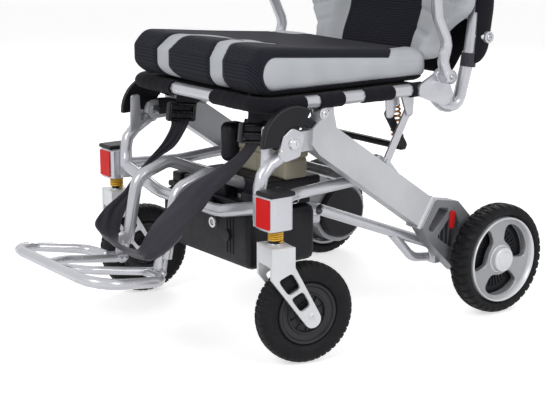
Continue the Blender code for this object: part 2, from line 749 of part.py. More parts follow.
def front_frame():
    """The welded front frame: legs, cross tubes, battery cradle and footrest hangers."""
    rear_end = AXLE_Y - 0.305
    solids = []
    bores = []
    for side, sign in SIDES:
        body, flange, bore = caster_housing(sign)
        solids += [body, flange]
        bores.append(bore)
        leg = side_points(FRAME_HALF_WIDTH, [station(-0.506, 0.380), station(-0.560, 0.349),
                                   station(-0.5605, HOUSING_BOTTOM + 0.006)], sign)
        solids.append(tube("leg", leg, FRAME_TUBE, 0.045))
        outer = FRAME_HALF_WIDTH + TONGUE_WIDTH / 2 + 0.001
        ear = [station(-0.468, 0.414), station(-0.494, 0.4275), station(-0.5165, 0.4115),
               station(-0.527, 0.379), station(-0.511, 0.366), station(-0.478, 0.372)]
        ear = rounded_outline(ear, 0.006, 1)
        solids.append(side_plate("ear", ear, outer, outer + PLATE_THICKNESS, sign))
        bores.append(cylinder("bolt_hole", PIVOT_BOLT_RADIUS + GAP,
                              ((sign * (outer - 0.010), *FRONT_PIVOT), (sign * (outer + 0.010), *FRONT_PIVOT)), 12))
        tab = [station(-0.526, 0.362), station(-0.552, 0.348), station(-0.549, 0.432), station(-0.529, 0.434)]
        solids.append(side_plate("strap_tab", rounded_outline(tab, 0.004, 1), STRAP_TAB_X, STRAP_TAB_X + 0.004, sign))
        side_tube = [(sign * (SIDE_TUBE_X + 0.036), CASTER_STEM_Y + 0.012, 0.2905),
                     (sign * SIDE_TUBE_X, AXLE_Y - 0.452, 0.2925),
                     (sign * SIDE_TUBE_X, rear_end, 0.3000)]
        solids.append(tube("side_tube", side_tube, CRADLE_TUBE, 0.05, 1))
        hanger = side_points(HANGER_X, [station(-0.455, 0.283), station(-0.560, 0.324),
                                        station(-0.632, 0.300), station(-0.658, 0.172)], sign)
        solids.append(tube("hanger", hanger, HANGER_TUBE, 0.035, 1))
        knuckle = (sign * HANGER_X, FOOT_PIVOT[0], FOOT_PIVOT[1])
        solids.append(side_plate("hinge_ear", rounded_outline([
            (FOOT_PIVOT[0] + 0.021, 0.196), (FOOT_PIVOT[0] - 0.003, 0.196),
            (FOOT_PIVOT[0] - 0.013, FOOT_PIVOT[1] + 0.004), (FOOT_PIVOT[0] - 0.007, FOOT_PIVOT[1] - 0.012),
            (FOOT_PIVOT[0] + 0.011, FOOT_PIVOT[1] - 0.010)], 0.006, 1),
            HANGER_X - 0.004, HANGER_X + 0.004, sign))
        solids.append(cylinder("hinge_pin", 0.005, ((knuckle[0] - 0.016, *knuckle[1:]),
                                                    (knuckle[0] + 0.016, *knuckle[1:])), 12))
    end = FRAME_HALF_WIDTH
    front = [(-end, CASTER_STEM_Y - 0.003, CROSS_TUBE_END_Z),
             (-end * 0.45, CASTER_STEM_Y - 0.003, CROSS_TUBE_MIDDLE_Z),
             (end * 0.45, CASTER_STEM_Y - 0.003, CROSS_TUBE_MIDDLE_Z),
             (end, CASTER_STEM_Y - 0.003, CROSS_TUBE_END_Z)]
    solids.append(tube("front_cross", front, FRAME_TUBE, 0.12))
    for y, z in (station(-0.455, 0.285), (rear_end, 0.3000)):
        solids.append(tube("cradle_cross", [(-SIDE_TUBE_X, y, z), (SIDE_TUBE_X, y, z)], CRADLE_TUBE, 0.04, 1))
    frame = cut(joined(*solids), *bores)
    return keep(smooth(frame), "front_frame", SILVER)


def pivot_bolts():
    """The two bolts that join the front and rear frames."""
    for side, sign in SIDES:
        y, z = FRONT_PIVOT
        inner = FRAME_HALF_WIDTH - TONGUE_WIDTH / 2 - GAP
        outer = FRAME_HALF_WIDTH + TONGUE_WIDTH / 2 + 0.001 + PLATE_THICKNESS
        profile = [(0.0, outer + 0.0045), (0.0095, outer + 0.0040), (0.0105, outer + 0.0025),
                   (0.0105, outer + GAP), (PIVOT_BOLT_RADIUS, outer + GAP),
                   (PIVOT_BOLT_RADIUS, inner - GAP), (0.0100, inner - GAP),
                   (0.0100, inner - 0.005), (0.0, inner - 0.005)]
        bolt = turned("bolt", profile, axis_x(0.0, y, z, sign), 12, closed=False)
        keep(bolt, "pivot_bolt_" + side, STEEL)


def rear_frame_side(side, sign, empty):
    """One side of the rear frame: beam, pivot cover, cast bracket and hub motor."""
    low = FRAME_HALF_WIDTH - BEAM_WIDTH / 2
    high = FRAME_HALF_WIDTH + BEAM_WIDTH / 2
    y, z = SEAT_PIVOT
    outline = [station(-0.177, 0.193), station(-0.143, 0.246), station(-0.396, 0.4185),
               (y + 0.0085, z + 0.006), (y, z + 0.0098), (y - 0.0095, z + 0.004),
               station(-0.4515, 0.4215), station(-0.4535, 0.392), station(-0.437, 0.372)]
    beam = side_plate("beam", outline, low, high, sign)
    tongue = capsule_outline(FRONT_PIVOT, station(-0.440, 0.400), 0.019)
    beam = joined(beam, side_plate("tongue", tongue, FRAME_HALF_WIDTH - TONGUE_WIDTH / 2,
                                   FRAME_HALF_WIDTH + TONGUE_WIDTH / 2, sign))
    pins = [cylinder("seat_pin", 0.005, ((sign * (low - 0.0105), *SEAT_PIVOT),
                                         (sign * (low + 0.004), *SEAT_PIVOT))),
            cylinder("brace_pin", 0.005, ((sign * (low - 0.0185), *BRACE_FOOT),
                                          (sign * (low + 0.004), *BRACE_FOOT)))]
    joined(beam, *pins)
    cut(beam, cylinder("bolt_hole", PIVOT_BOLT_RADIUS + RUNNING_CLEARANCE,
                       ((sign * (low - 0.01), *FRONT_PIVOT), (sign * (high + 0.01), *FRONT_PIVOT)), 14))
    keep(smooth(beam, 30.0), "beam_" + side, BEAM_SILVER)

    start, end = math.radians(56.0), math.radians(182.0)
    cover = []
    for k in range(13):
        angle = start + (end - start) * k / 12
        cover.append((FRONT_PIVOT[0] + COVER_RADIUS * math.cos(angle),
                      FRONT_PIVOT[1] + COVER_RADIUS * math.sin(angle)))
    for k in range(9):
        angle = end + (start - end) * k / 8
        cover.append((FRONT_PIVOT[0] + 0.0325 * math.cos(angle), FRONT_PIVOT[1] + 0.0325 * math.sin(angle)))
    cover = side_plate("cover", cover, COVER_INNER_X, COVER_OUTER_X, sign)
    foot = [station(-0.4715, 0.4310), station(-0.4517, 0.4218), station(-0.4397, 0.4319), station(-0.4645, 0.4456)]
    joined(cover, side_plate("cover_foot", foot, COVER_INNER_X + 0.001, COVER_OUTER_X - 0.001, sign))
    keep(smooth(cover, 30.0), "pivot_cover_" + side, BLACK)

    bracket_low = low + 0.001
    bracket_high = high - 0.001
    casting = [station(-0.1417, 0.2469), station(-0.080, 0.2360), station(-0.030, REAR_RADIUS + 0.0725),
               station(-0.030, REAR_RADIUS - 0.0375), station(-0.075, REAR_RADIUS - 0.0265),
               station(-0.150, 0.1560), station(-0.1767, 0.1929)]
    bracket = side_plate("bracket", rounded_outline(casting, 0.006, 1), bracket_low, bracket_high, sign)
    clamp = cylinder("clamp", MOTOR_RADIUS + MOTOR_CLAMP, ((sign * bracket_low, AXLE_Y, REAR_RADIUS),
                                                     (sign * bracket_high, AXLE_Y, REAR_RADIUS)), 24)
    joined(bracket, clamp)
    window = [station(-0.131, 0.2300), station(-0.100, 0.2240), station(-0.150, 0.1790),
              station(-0.1600, 0.1900)]
    pocket = [station(-0.089, 0.2200), station(-0.076, 0.1900), station(-0.084, 0.1320),
              station(-0.136, 0.1690)]
    cut(bracket, side_plate("window", rounded_outline(window, 0.004, 1), low - 0.01, high + 0.01, sign),
        side_plate("pocket", rounded_outline(pocket, 0.004, 1), bracket_low + 0.010, high + 0.01, sign),
        cylinder("motor_bore", MOTOR_RADIUS + GAP, ((sign * (low - 0.01), AXLE_Y, REAR_RADIUS),
                                                    (sign * (high + 0.01), AXLE_Y, REAR_RADIUS)), 24))
    ribs = []
    for k in range(3):
        rib_y = AXLE_Y - 0.119 + 0.0115 * k
        rib_low = 0.1530 - 0.0082 * k
        rib_high = 0.1915 + 0.0118 * k
        ribs.append(block("rib", (0.014, 0.0024, rib_high - rib_low),
                          (sign * (bracket_low + 0.0165), rib_y, (rib_low + rib_high) / 2)))
    joined(bracket, *ribs)
    keep(smooth(bracket, 30.0), "rear_bracket_" + side, CAST)

    profile = [(0.0, MOTOR_SHAFT_END), (REAR_AXLE_RADIUS, MOTOR_SHAFT_END), (REAR_AXLE_RADIUS, MOTOR_OUTER_X),
               (MOTOR_RADIUS, MOTOR_OUTER_X), (MOTOR_RADIUS, MOTOR_INNER_X + 0.005),
               (MOTOR_RADIUS - 0.005, MOTOR_INNER_X), (0.0, MOTOR_INNER_X)]
    motor = keep(turned("motor", profile, axis_x(0.0, AXLE_Y, REAR_RADIUS, sign), 24, closed=False),
                 "hub_motor_" + side, BLACK)

    pivot = (sign * (high + 0.0008), AXLE_Y - 0.1005, 0.187)
    lever_axis = joint_empty(side + "_clutch_axis", Matrix.Translation(pivot), empty)
    handle = [station(-0.1060, 0.183), station(-0.0950, 0.183), station(-0.0905, 0.214),
              station(-0.0955, 0.221), station(-0.1030, 0.216)]
    lever = side_plate("lever", rounded_outline(handle, 0.003, 1), bracket_high + GAP, high + 0.0040, sign)
    keep(lever, "clutch_lever_" + side, RED)
    carry(lever_axis, lever)
    carry(empty, beam, cover, bracket, motor)


def rear_stays(empty):
    """The welded lower frame between the rear brackets: two stays, a cross tube and a low loop."""
    solids = []
    for side, sign in SIDES:
        stay = [(sign * STAY_X, *station(-0.390, 0.2520)),
                (sign * STAY_X, *station(-0.110, REAR_RADIUS + 0.0305)),
                (sign * (FRAME_HALF_WIDTH - BEAM_WIDTH / 2 - 0.014), *station(-0.085, REAR_RADIUS + 0.0215))]
        solids.append(tube("stay", stay, STAY_TUBE, 0.03, 1))
        loop = [(sign * STAY_X, *station(-0.205, REAR_RADIUS + 0.0635)),
                (sign * STAY_X, *station(-0.150, REAR_RADIUS + 0.0055)),
                (sign * STAY_X, *station(-0.085, REAR_RADIUS - 0.0025))]
        solids.append(tube("loop", loop, 0.009, 0.05, 1))
        pad = block("bracket_pad", (0.022, 0.034, 0.044),
                    (sign * (FRAME_HALF_WIDTH - BEAM_WIDTH / 2 + 0.001 - GAP - 0.011), AXLE_Y - 0.092,
                     REAR_RADIUS + 0.0115),
                    0.002, 1)
        solids.append(pad)
    middle = station(-0.130, REAR_RADIUS + 0.0385)
    cross = [(-STAY_X, *middle), (STAY_X, *middle)]
    solids.append(tube("stay_cross", cross, 0.009, 0.04, 1))
    stays = keep(joined(*solids), "rear_stays", SILVER)
    carry(empty, stays)


def seat_frame(empty):
    """The welded seat frame: side rails, cross rails, pivot brackets and spring seats."""
    solids = []
    front = RAIL_FRONT_Y
    ring = [(RAIL_X, RAIL_REAR_Y, RAIL_Z), (RAIL_X, front, RAIL_Z), (-RAIL_X, front, RAIL_Z),
            (-RAIL_X, RAIL_REAR_Y, RAIL_Z)]
    rails = tube("rails", ring, FRAME_TUBE, RAIL_BEND)
    rear = station(-0.192, SLING_BOTTOM - GAP - SEAT_CROSS_TUBE * TUBE_FLAT)
    solids.append(tube("rear_cross", [(-RAIL_X, *rear), (RAIL_X, *rear)], SEAT_CROSS_TUBE, 0.04, 1))
    plate_high = FRAME_HALF_WIDTH - BEAM_WIDTH / 2 - 0.001
    plate_low = plate_high - LINK_THICKNESS
    for side, sign in SIDES:
        y, z = SEAT_PIVOT
        pivot_plate = [(y - 0.020, RAIL_Z), (y - 0.012, z - 0.008), (y, z - 0.012), (y + 0.030, 0.402),
                       (y + 0.040, 0.400), (y + 0.036, RAIL_Z)]
        bracket = side_plate("pivot_plate", rounded_outline(pivot_plate, 0.004, 1), plate_low, plate_high, sign)
        cut(bracket, cylinder("pin_hole", 0.005 + RUNNING_CLEARANCE,
                              ((sign * (plate_low - 0.01), y, z), (sign * (plate_high + 0.01), y, z))))
        solids.append(bracket)
        y, z = BRACE_TOP
        brace_plate = [(y - 0.026, RAIL_Z), (y - 0.007, z - 0.005), (y + 0.001, z - 0.0085),
                       (y + 0.0085, z - 0.003), (y + 0.010, RAIL_Z)]
        solids.append(side_plate("brace_plate", rounded_outline(brace_plate, 0.004, 1),
                                 plate_low, plate_high, sign))
        link_low = plate_low - GAP - LINK_THICKNESS
        solids.append(cylinder("brace_pin", 0.005, ((sign * (link_low - 0.001), y, z),
                                                    (sign * plate_high, y, z))))
        y, z = YOKE_PIVOT
        ear = [(y - 0.012, RAIL_Z), (y - 0.009, z - 0.006), (y, z - 0.009), (y + 0.009, z - 0.004),
               (y + 0.022, 0.4600)]
        ear_low = YOKE_X + 0.0185
        solids.append(side_plate("yoke_ear", rounded_outline(ear, 0.003, 1), ear_low, ear_low + 0.004, sign))
        solids.append(cylinder("yoke_pin", 0.0045, ((sign * (YOKE_X + 0.010), y, z),
                                                    (sign * (ear_low + 0.003), y, z))))
        solids.append(block("ear_tie", (RAIL_X - ear_low, 0.012, 0.010),
                            (sign * (RAIL_X + ear_low) / 2, y + 0.004, 0.4620)))
        top = Vector((sign * YOKE_X, *SHOCK_TOP))
        foot = Vector((sign * YOKE_X, *YOKE_FOOT))
        axis = (foot - top).normalized()
        solids.append(cylinder("shock_seat", 0.0125, (top - axis * 0.022, top)))
        solids.append(arm_bracket(sign))
    frame = keep(joined(rails, *solids), "seat_frame", SILVER)
    carry(empty, frame)


def brace_links(upper_empty, lower_empty):
    """The folding braces that hold the seat over the beams, an upper and a lower link a side."""
    plate_low = FRAME_HALF_WIDTH - BEAM_WIDTH / 2 - 0.001 - LINK_THICKNESS
    upper_high = plate_low - GAP
    upper_low = upper_high - LINK_THICKNESS
    lower_high = upper_low - 0.0005
    lower_low = lower_high - LINK_THICKNESS
    for side, sign in SIDES:
        upper = side_plate("upper", capsule_outline(BRACE_TOP, BRACE_ELBOW, LINK_HALF_WIDTH),
                           upper_low, upper_high, sign)
        cut(upper, cylinder("hole", 0.005 + RUNNING_CLEARANCE, ((sign * (upper_low - 0.01), *BRACE_TOP),
                                                                (sign * (upper_high + 0.01), *BRACE_TOP))))
        head = cylinder("elbow_bolt", 0.006, ((sign * (upper_high - 0.001), *BRACE_ELBOW),
                                              (sign * (upper_high + 0.004), *BRACE_ELBOW)))
        keep(joined(upper, head), "brace_upper_" + side, SILVER)
        lower = side_plate("lower", capsule_outline(BRACE_ELBOW, BRACE_FOOT, LINK_HALF_WIDTH),
                           lower_low, lower_high, sign)
        cut(lower, cylinder("hole", 0.005 + RUNNING_CLEARANCE, ((sign * (lower_low - 0.01), *BRACE_FOOT),
                                                                (sign * (lower_high + 0.01), *BRACE_FOOT))))
        knob_centre = (BRACE_ELBOW[0] - 0.012, BRACE_ELBOW[1] + 0.004)
        knob = cylinder("knob", 0.010, ((sign * (lower_low - 0.012), *knob_centre),
                                        (sign * (lower_low + 0.002), *knob_centre)))
        keep(joined(lower, knob), "brace_lower_" + side, SILVER)
        carry(upper_empty, upper)
        carry(lower_empty, lower)


def shock_yoke(empty, seat_empty):
    """The swinging yoke under the seat and the two coil springs that carry it."""
    solids = []
    for side, sign in SIDES:
        x = sign * (YOKE_X + 0.0145)
        arm = side_plate("arm", capsule_outline(YOKE_PIVOT, YOKE_FOOT, 0.008), x - 0.0025, x + 0.0025, 1)
        cut(arm, cylinder("hole", 0.0045 + RUNNING_CLEARANCE, ((x - 0.01, *YOKE_PIVOT),
                                                               (x + 0.01, *YOKE_PIVOT))))
        solids.append(arm)
        top = Vector((sign * YOKE_X, *SHOCK_TOP))
        foot = Vector((sign * YOKE_X, *YOKE_FOOT))
        axis = (foot - top).normalized()
        solids.append(cylinder("spring_seat", 0.0115, (foot - axis * 0.006, foot + axis * 0.002)))
        solids.append(cylinder("rod", 0.0045, (foot - axis * 0.024, foot), 8))
        spring = coil("shock_spring_" + side, foot - axis * (0.006 + GAP + SHOCK_SPRING_WIRE),
                      top + axis * (GAP + SHOCK_SPRING_WIRE), SHOCK_SPRING_RADIUS, SHOCK_SPRING_WIRE,
                      SHOCK_SPRING_TURNS)
        keep(spring, "shock_spring_" + side, COPPER)
        carry(seat_empty, spring)
    span = YOKE_X + 0.017
    solids.insert(0, block("crossbar", (2 * span, 0.016, 0.012),
                           (0.0, YOKE_FOOT[0], YOKE_FOOT[1] - 0.004), 0.003, 1))
    yoke = keep(joined(*solids), "shock_yoke", BLACK)
    carry(empty, yoke)


def seat_soft(empty):
    """The sling between the rails and the cushion on it."""
    inner = RAIL_X - FRAME_TUBE - GAP
    front = RAIL_FRONT_Y + RAIL_BEND + GAP
    sling = block("sling", (2 * inner, RAIL_REAR_Y - front, SLING_THICKNESS),
                  (0.0, (RAIL_REAR_Y + front) / 2, SLING_BOTTOM + SLING_THICKNESS / 2), 0.0015, 1)
    keep(sling, "seat_sling", FABRIC)
    bottom = RAIL_Z + FRAME_TUBE - CUSHION_SINK
    depth = CUSHION_REAR_Y - CUSHION_FRONT_Y
    thickness = (CUSHION_FRONT_TOP + CUSHION_REAR_TOP) / 2 - bottom - 0.008
    pad = cushion("cushion", (0.0, (CUSHION_FRONT_Y + CUSHION_REAR_Y) / 2, bottom + thickness / 2),
                  (2 * CUSHION_HALF_WIDTH, depth, thickness), CUSHION_CROWN, 0.02, (0.0, 0.88, 1.0))
    slope = (CUSHION_FRONT_TOP - CUSHION_REAR_TOP) / depth
    for vert in pad.data.vertices:
        share = (vert.co.z + thickness / 2) / thickness
        vert.co.z = max(vert.co.z, -thickness / 2) - slope * vert.co.y * max(0.0, share)
    keep(pad, "seat_cushion", FABRIC)
    carry(empty, sling, pad)


def back_line(z):
    """The Y station of the back tubes at a height, which lean back as they rise."""
    low = (AXLE_Y - 0.0360, 0.530)
    high = (BACK_PIVOT[0] + 0.001, BACK_PIVOT[1])
    return low[0] + (z - low[1]) * (high[0] - low[0]) / (high[1] - low[1])


def back_lower(empty):
    """The fixed lower half of the backrest: two swept posts, a cross tube and hinge ears."""
    solids = []
    low_y = RAIL_REAR_Y + GAP
    top = BACK_PIVOT[1] - 0.016
    for side, sign in SIDES:
        corners = side_points(BACK_X, [(low_y, RAIL_Z), station(-0.146, RAIL_Z), station(-0.108, 0.4270),
                                       station(-0.066, 0.4230), (back_line(0.530), 0.530),
                                       (back_line(top), top)], sign)
        solids.append(tube("post", corners, FRAME_TUBE, 0.040))
        ear = [(BACK_PIVOT[0] - 0.011, top - 0.016), (BACK_PIVOT[0] + 0.009, top - 0.016),
               (BACK_PIVOT[0] + 0.011, BACK_PIVOT[1] + 0.004), (BACK_PIVOT[0] + 0.002, BACK_PIVOT[1] + 0.0105),
               (BACK_PIVOT[0] - 0.009, BACK_PIVOT[1] + 0.006)]
        solids.append(side_plate("ear", rounded_outline(ear, 0.004, 1), BACK_X - 0.012, BACK_X - 0.0075, sign))
        solids.append(cylinder("hinge_pin", 0.004, ((sign * (BACK_X - 0.0125), *BACK_PIVOT),
                                                    (sign * (BACK_X + 0.0115), *BACK_PIVOT))))
    z = 0.600
    solids.append(tube("cross", [(-BACK_X, back_line(z), z), (BACK_X, back_line(z), z)], BACK_CROSS_TUBE, 0.04, 1))
    posts = keep(joined(*solids), "back_posts", SILVER)
    pad = block("pad", (2 * BACK_PAD_HALF_WIDTH, BACK_PAD_THICKNESS, BACK_PAD_SPLIT - BACK_PAD_BOTTOM),
                (0.0, 0.0, 0.0), 0.012, 2)
    middle = (BACK_PAD_SPLIT + BACK_PAD_BOTTOM) / 2
    lean = math.atan2(back_line(1.0) - back_line(0.0), 1.0)
    behind = BACK_CROSS_TUBE * TUBE_FLAT + GAP + BACK_PAD_THICKNESS / 2
    pad.location = (0.0, back_line(middle) - behind, middle)
    pad.rotation_euler = (-lean, 0.0, 0.0)
    keep(pad, "back_pad_lower", FABRIC)
    carry(empty, posts, pad)


def back_upper(empty):
    """The folding upper half of the backrest: tubes, push handles, grips and pad."""
    solids = []
    grips = []
    base = BACK_PIVOT[1] + 0.014
    for side, sign in SIDES:
        x = sign * BACK_X
        bend = (x, back_line(BACK_TOP), BACK_TOP - FRAME_TUBE)
        corners = [(x, back_line(base), base), bend, (x, bend[1] + 0.125, bend[2] - 0.006)]
        solids.append(tube("upright", corners, FRAME_TUBE, 0.035))
        knuckle = [(BACK_PIVOT[0] + 0.009, base + 0.016), (BACK_PIVOT[0] - 0.009, base + 0.016),
                   (BACK_PIVOT[0] - 0.0095, BACK_PIVOT[1] - 0.002), (BACK_PIVOT[0], BACK_PIVOT[1] - 0.0105),
                   (BACK_PIVOT[0] + 0.0095, BACK_PIVOT[1] - 0.002)]
        leaf = side_plate("knuckle", rounded_outline(knuckle, 0.004, 1), BACK_X - 0.007, BACK_X + 0.007, sign)
        solids.append(leaf)
        end = Vector(corners[2])
        along = (end - Vector(bend)).normalized()
        grip = cylinder("grip", GRIP_RADIUS, (end - along * (GRIP_LENGTH - 0.012), end + along * 0.004), 20)
        core = cylinder("core", FRAME_TUBE + GAP, (end - along * GRIP_LENGTH, end + along * 0.0003), 20)
        grips.append(keep(cut(grip, core), "push_grip_" + side, RUBBER))
    z = BACK_PAD_TOP - 0.030
    solids.append(tube("cross", [(-BACK_X, back_line(z), z), (BACK_X, back_line(z), z)], BACK_CROSS_TUBE, 0.04, 1))
    upper = joined(*solids)
    for side, sign in SIDES:
        cut(upper, cylinder("hole", 0.004 + RUNNING_CLEARANCE, ((sign * (BACK_X - 0.0115), *BACK_PIVOT),
                                                                (sign * (BACK_X + 0.02), *BACK_PIVOT))))
    keep(upper, "back_uprights", SILVER)
    low = BACK_PIVOT[1] - 0.014
    height = BACK_PAD_TOP - low
    pad = cushion("pad", (0.0, 0.0, 0.0), (2 * BACK_PAD_HALF_WIDTH, height, BACK_PAD_THICKNESS), 0.006, 0.012,
                  (0.88, 1.0))
    middle = (BACK_PAD_TOP + low) / 2
    lean = math.atan2(back_line(1.0) - back_line(0.0), 1.0)
    behind = BACK_CROSS_TUBE + 2 * GAP + BACK_PAD_THICKNESS / 2
    pad.matrix_world = (Matrix.Translation((0.0, back_line(middle) - behind, middle))
                        @ Matrix.Rotation(-lean, 4, "X") @ Matrix.Rotation(math.radians(90.0), 4, "X"))
    keep(pad, "back_pad_upper", FABRIC)
    carry(empty, upper, pad, *grips)


def arm_bracket(sign):
    """The cast bracket on a rail end that carries the armrest, with its barrel and pin."""
    y, z = ARM_PIVOT
    inner = RAIL_X + FRAME_TUBE + GAP
    face = ARM_X - ARM_TUBE - 0.0010
    casting = [(RAIL_REAR_Y - 0.022, RAIL_Z - 0.010), (RAIL_REAR_Y - 0.022, RAIL_Z + 0.010),
               (y - 0.016, z + 0.004), (y - 0.006, z + 0.015), (y + 0.010, z + 0.012), (y + 0.016, z - 0.004),
               (y + 0.034, z - 0.040), (y + 0.030, z - 0.060), (y + 0.006, z - 0.060)]
    bracket = side_plate("bracket", rounded_outline(casting, 0.007, 1), inner, inner + 0.008, sign)
    joined(bracket, cylinder("barrel", 0.0135, ((sign * (inner + 0.004), y, z), (sign * face, y, z)), 14))
    pin_end = ARM_X + ARM_TUBE + 0.002
    joined(bracket, cylinder("barrel_pin", 0.005, ((sign * (face - 0.004), y, z), (sign * pin_end, y, z))))
    lug = RAIL_REAR_Y - 0.011
    joined(bracket, cylinder("rail_lug", 0.009, ((sign * (RAIL_X + 0.004), lug, RAIL_Z),
                                                 (sign * (inner + 0.004), lug, RAIL_Z))))
    return bracket


def arm(side, sign, seat_empty):
    """One armrest: bent tube and pad."""
    y, z = ARM_PIVOT
    hinge = joint_empty(side + "_armrest_axis", Matrix.Translation((sign * ARM_X, y, z)), seat_empty)
    corners = side_points(ARM_X, [(y, z), station(-0.147, 0.522), station(-0.132, 0.552), station(-0.161, 0.612),
                                  station(-0.172, ARM_HEIGHT), (JOYSTICK_Y + 0.030, ARM_HEIGHT)], sign)
    rail = tube("arm_tube", corners, ARM_TUBE, 0.032)
    eye = cylinder("eye", 0.0140, ((sign * (ARM_X - ARM_TUBE), y, z), (sign * (ARM_X + ARM_TUBE), y, z)), 14)
    joined(rail, eye)
    cut(rail, cylinder("hole", 0.005 + RUNNING_CLEARANCE, ((sign * (ARM_X - 0.03), y, z),
                                                           (sign * (ARM_X + 0.03), y, z))))
    keep(rail, "armrest_tube_" + side, SILVER)
    pad_y = ARM_PAD_REAR - ARM_PAD_LENGTH / 2
    pad_x = sign * (ARM_PAD_INNER_X + ARM_PAD_WIDTH / 2)
    pad = block("arm_pad", (ARM_PAD_WIDTH, ARM_PAD_LENGTH, ARM_PAD_HEIGHT),
                (pad_x, pad_y, ARM_HEIGHT + ARM_TUBE + GAP + ARM_PAD_HEIGHT / 2), 0.009, 2)
    keep(pad, "arm_pad_" + side, PAD_FOAM)
    carry(hinge, rail, pad)
    return hinge


def joystick(arm_empty):
    """The control box on the right arm, with its boot, stick and two push buttons."""
    x = -(ARM_PAD_INNER_X + JOYSTICK_WIDTH / 2)
    y = JOYSTICK_Y
    base = ARM_HEIGHT + ARM_TUBE + GAP
    top = base + JOYSTICK_HEIGHT
    box = block("control_box", (JOYSTICK_WIDTH, JOYSTICK_LENGTH, JOYSTICK_HEIGHT),
                (x, y, base + JOYSTICK_HEIGHT / 2), 0.008, 2)
    well = cylinder("well", 0.0205, ((x, y - 0.022, top - JOYSTICK_WELL), (x, y - 0.022, top + 0.02)), 14)
    cut(box, well)
    spot = (x, y + 0.030)
    cut(box, cylinder("button_well", 0.0085, ((*spot, top - 0.006), (*spot, top + 0.02))))
    keep(box, "joystick_box", BLACK)
    floor = top - JOYSTICK_WELL
    pivot = Matrix.Translation((x, y - 0.022, floor + JOYSTICK_BALL + GAP))
    fore_aft = joint_empty("joystick_fore_aft_axis", pivot, arm_empty)
    sideways = joint_empty("joystick_sideways_axis", pivot, fore_aft)
    ring = JOYSTICK_BALL + GAP
    profile = [(0.0092, 0.0062), (0.0125, 0.0035), (0.0165, -0.0005), (0.0150, -0.0022), (ring, -0.0022),
               (ring, 0.0016)]
    boot = keep(turned("boot", profile, pivot, 16), "joystick_boot", RUBBER)
    ball = [(JOYSTICK_BALL * math.sin(angle), JOYSTICK_BALL * math.cos(angle))
            for angle in (math.radians(37.5 + 23.75 * k) for k in range(7))]
    profile = [(0.0, 0.0420), (0.0065, 0.0405), (0.0100, 0.0350), (0.0085, 0.0270), (0.0045, 0.0215)]
    profile += ball[:-1] + [(0.0, -JOYSTICK_BALL)]
    stick = keep(turned("stick", profile, pivot, 16, closed=False), "joystick_stick", BLACK)
    slide = joint_empty("power_button_axis", Matrix.Translation((*spot, top)), arm_empty)
    button = cylinder("button", 0.0081, ((*spot, top - 0.0040), (*spot, top + 0.0018)))
    carry(slide, keep(button, "power_button", RED))
    carry(fore_aft, boot)
    carry(sideways, stick)
    carry(arm_empty, box)


def footrest():
    """The flip-up footrest: an outer loop and an inner loop of tube on two hinge sleeves."""
    y, z = FOOT_PIVOT
    hinge = joint_empty("footrest_axis", Matrix.Translation((0.0, y, z)))
    slope = (FOOTREST_FRONT_Z - z) / (y - FOOTREST_FRONT_Y)
    rear = y - 0.022

    def on_plane(x, along):
        return (x, along, z + (y - along) * slope)

    wide = FOOTREST_HALF_WIDTH - FOOTREST_TUBE
    front = FOOTREST_FRONT_Y + FOOTREST_TUBE
    outer = [on_plane(HANGER_X + 0.0105, rear - 0.004), on_plane(wide - 0.030, rear - 0.010), on_plane(wide, front),
             on_plane(-wide, front), on_plane(-wide + 0.030, rear - 0.010), on_plane(-HANGER_X - 0.0105, rear - 0.004)]
    loop = tube("loop", outer, FOOTREST_TUBE, 0.050)
    solids = []
    for side, sign in SIDES:
        bar = [on_plane(sign * (HANGER_X - 0.0145), rear + 0.002), on_plane(sign * 0.048, front + 0.060),
               on_plane(sign * 0.014, front)]
        solids.append(tube("inner_bar", bar, 0.008, 0.050, 1))
        for offset in (-0.0105, 0.0105):
            x = sign * (HANGER_X + offset)
            lug = [(y + 0.009, z - 0.004), (y + 0.006, z + 0.008), (y - 0.006, z + 0.009),
                   (rear - 0.006, z + 0.012), (rear - 0.008, z - 0.004)]
            piece = side_plate("lug", rounded_outline(lug, 0.003, 1), x - 0.0035, x + 0.0035, 1)
            cut(piece, cylinder("hole", 0.005 + RUNNING_CLEARANCE, ((x - 0.01, y, z), (x + 0.01, y, z)), 12))
            solids.append(piece)
    rest = keep(joined(loop, *solids), "footrest", SILVER)
    carry(hinge, rest)


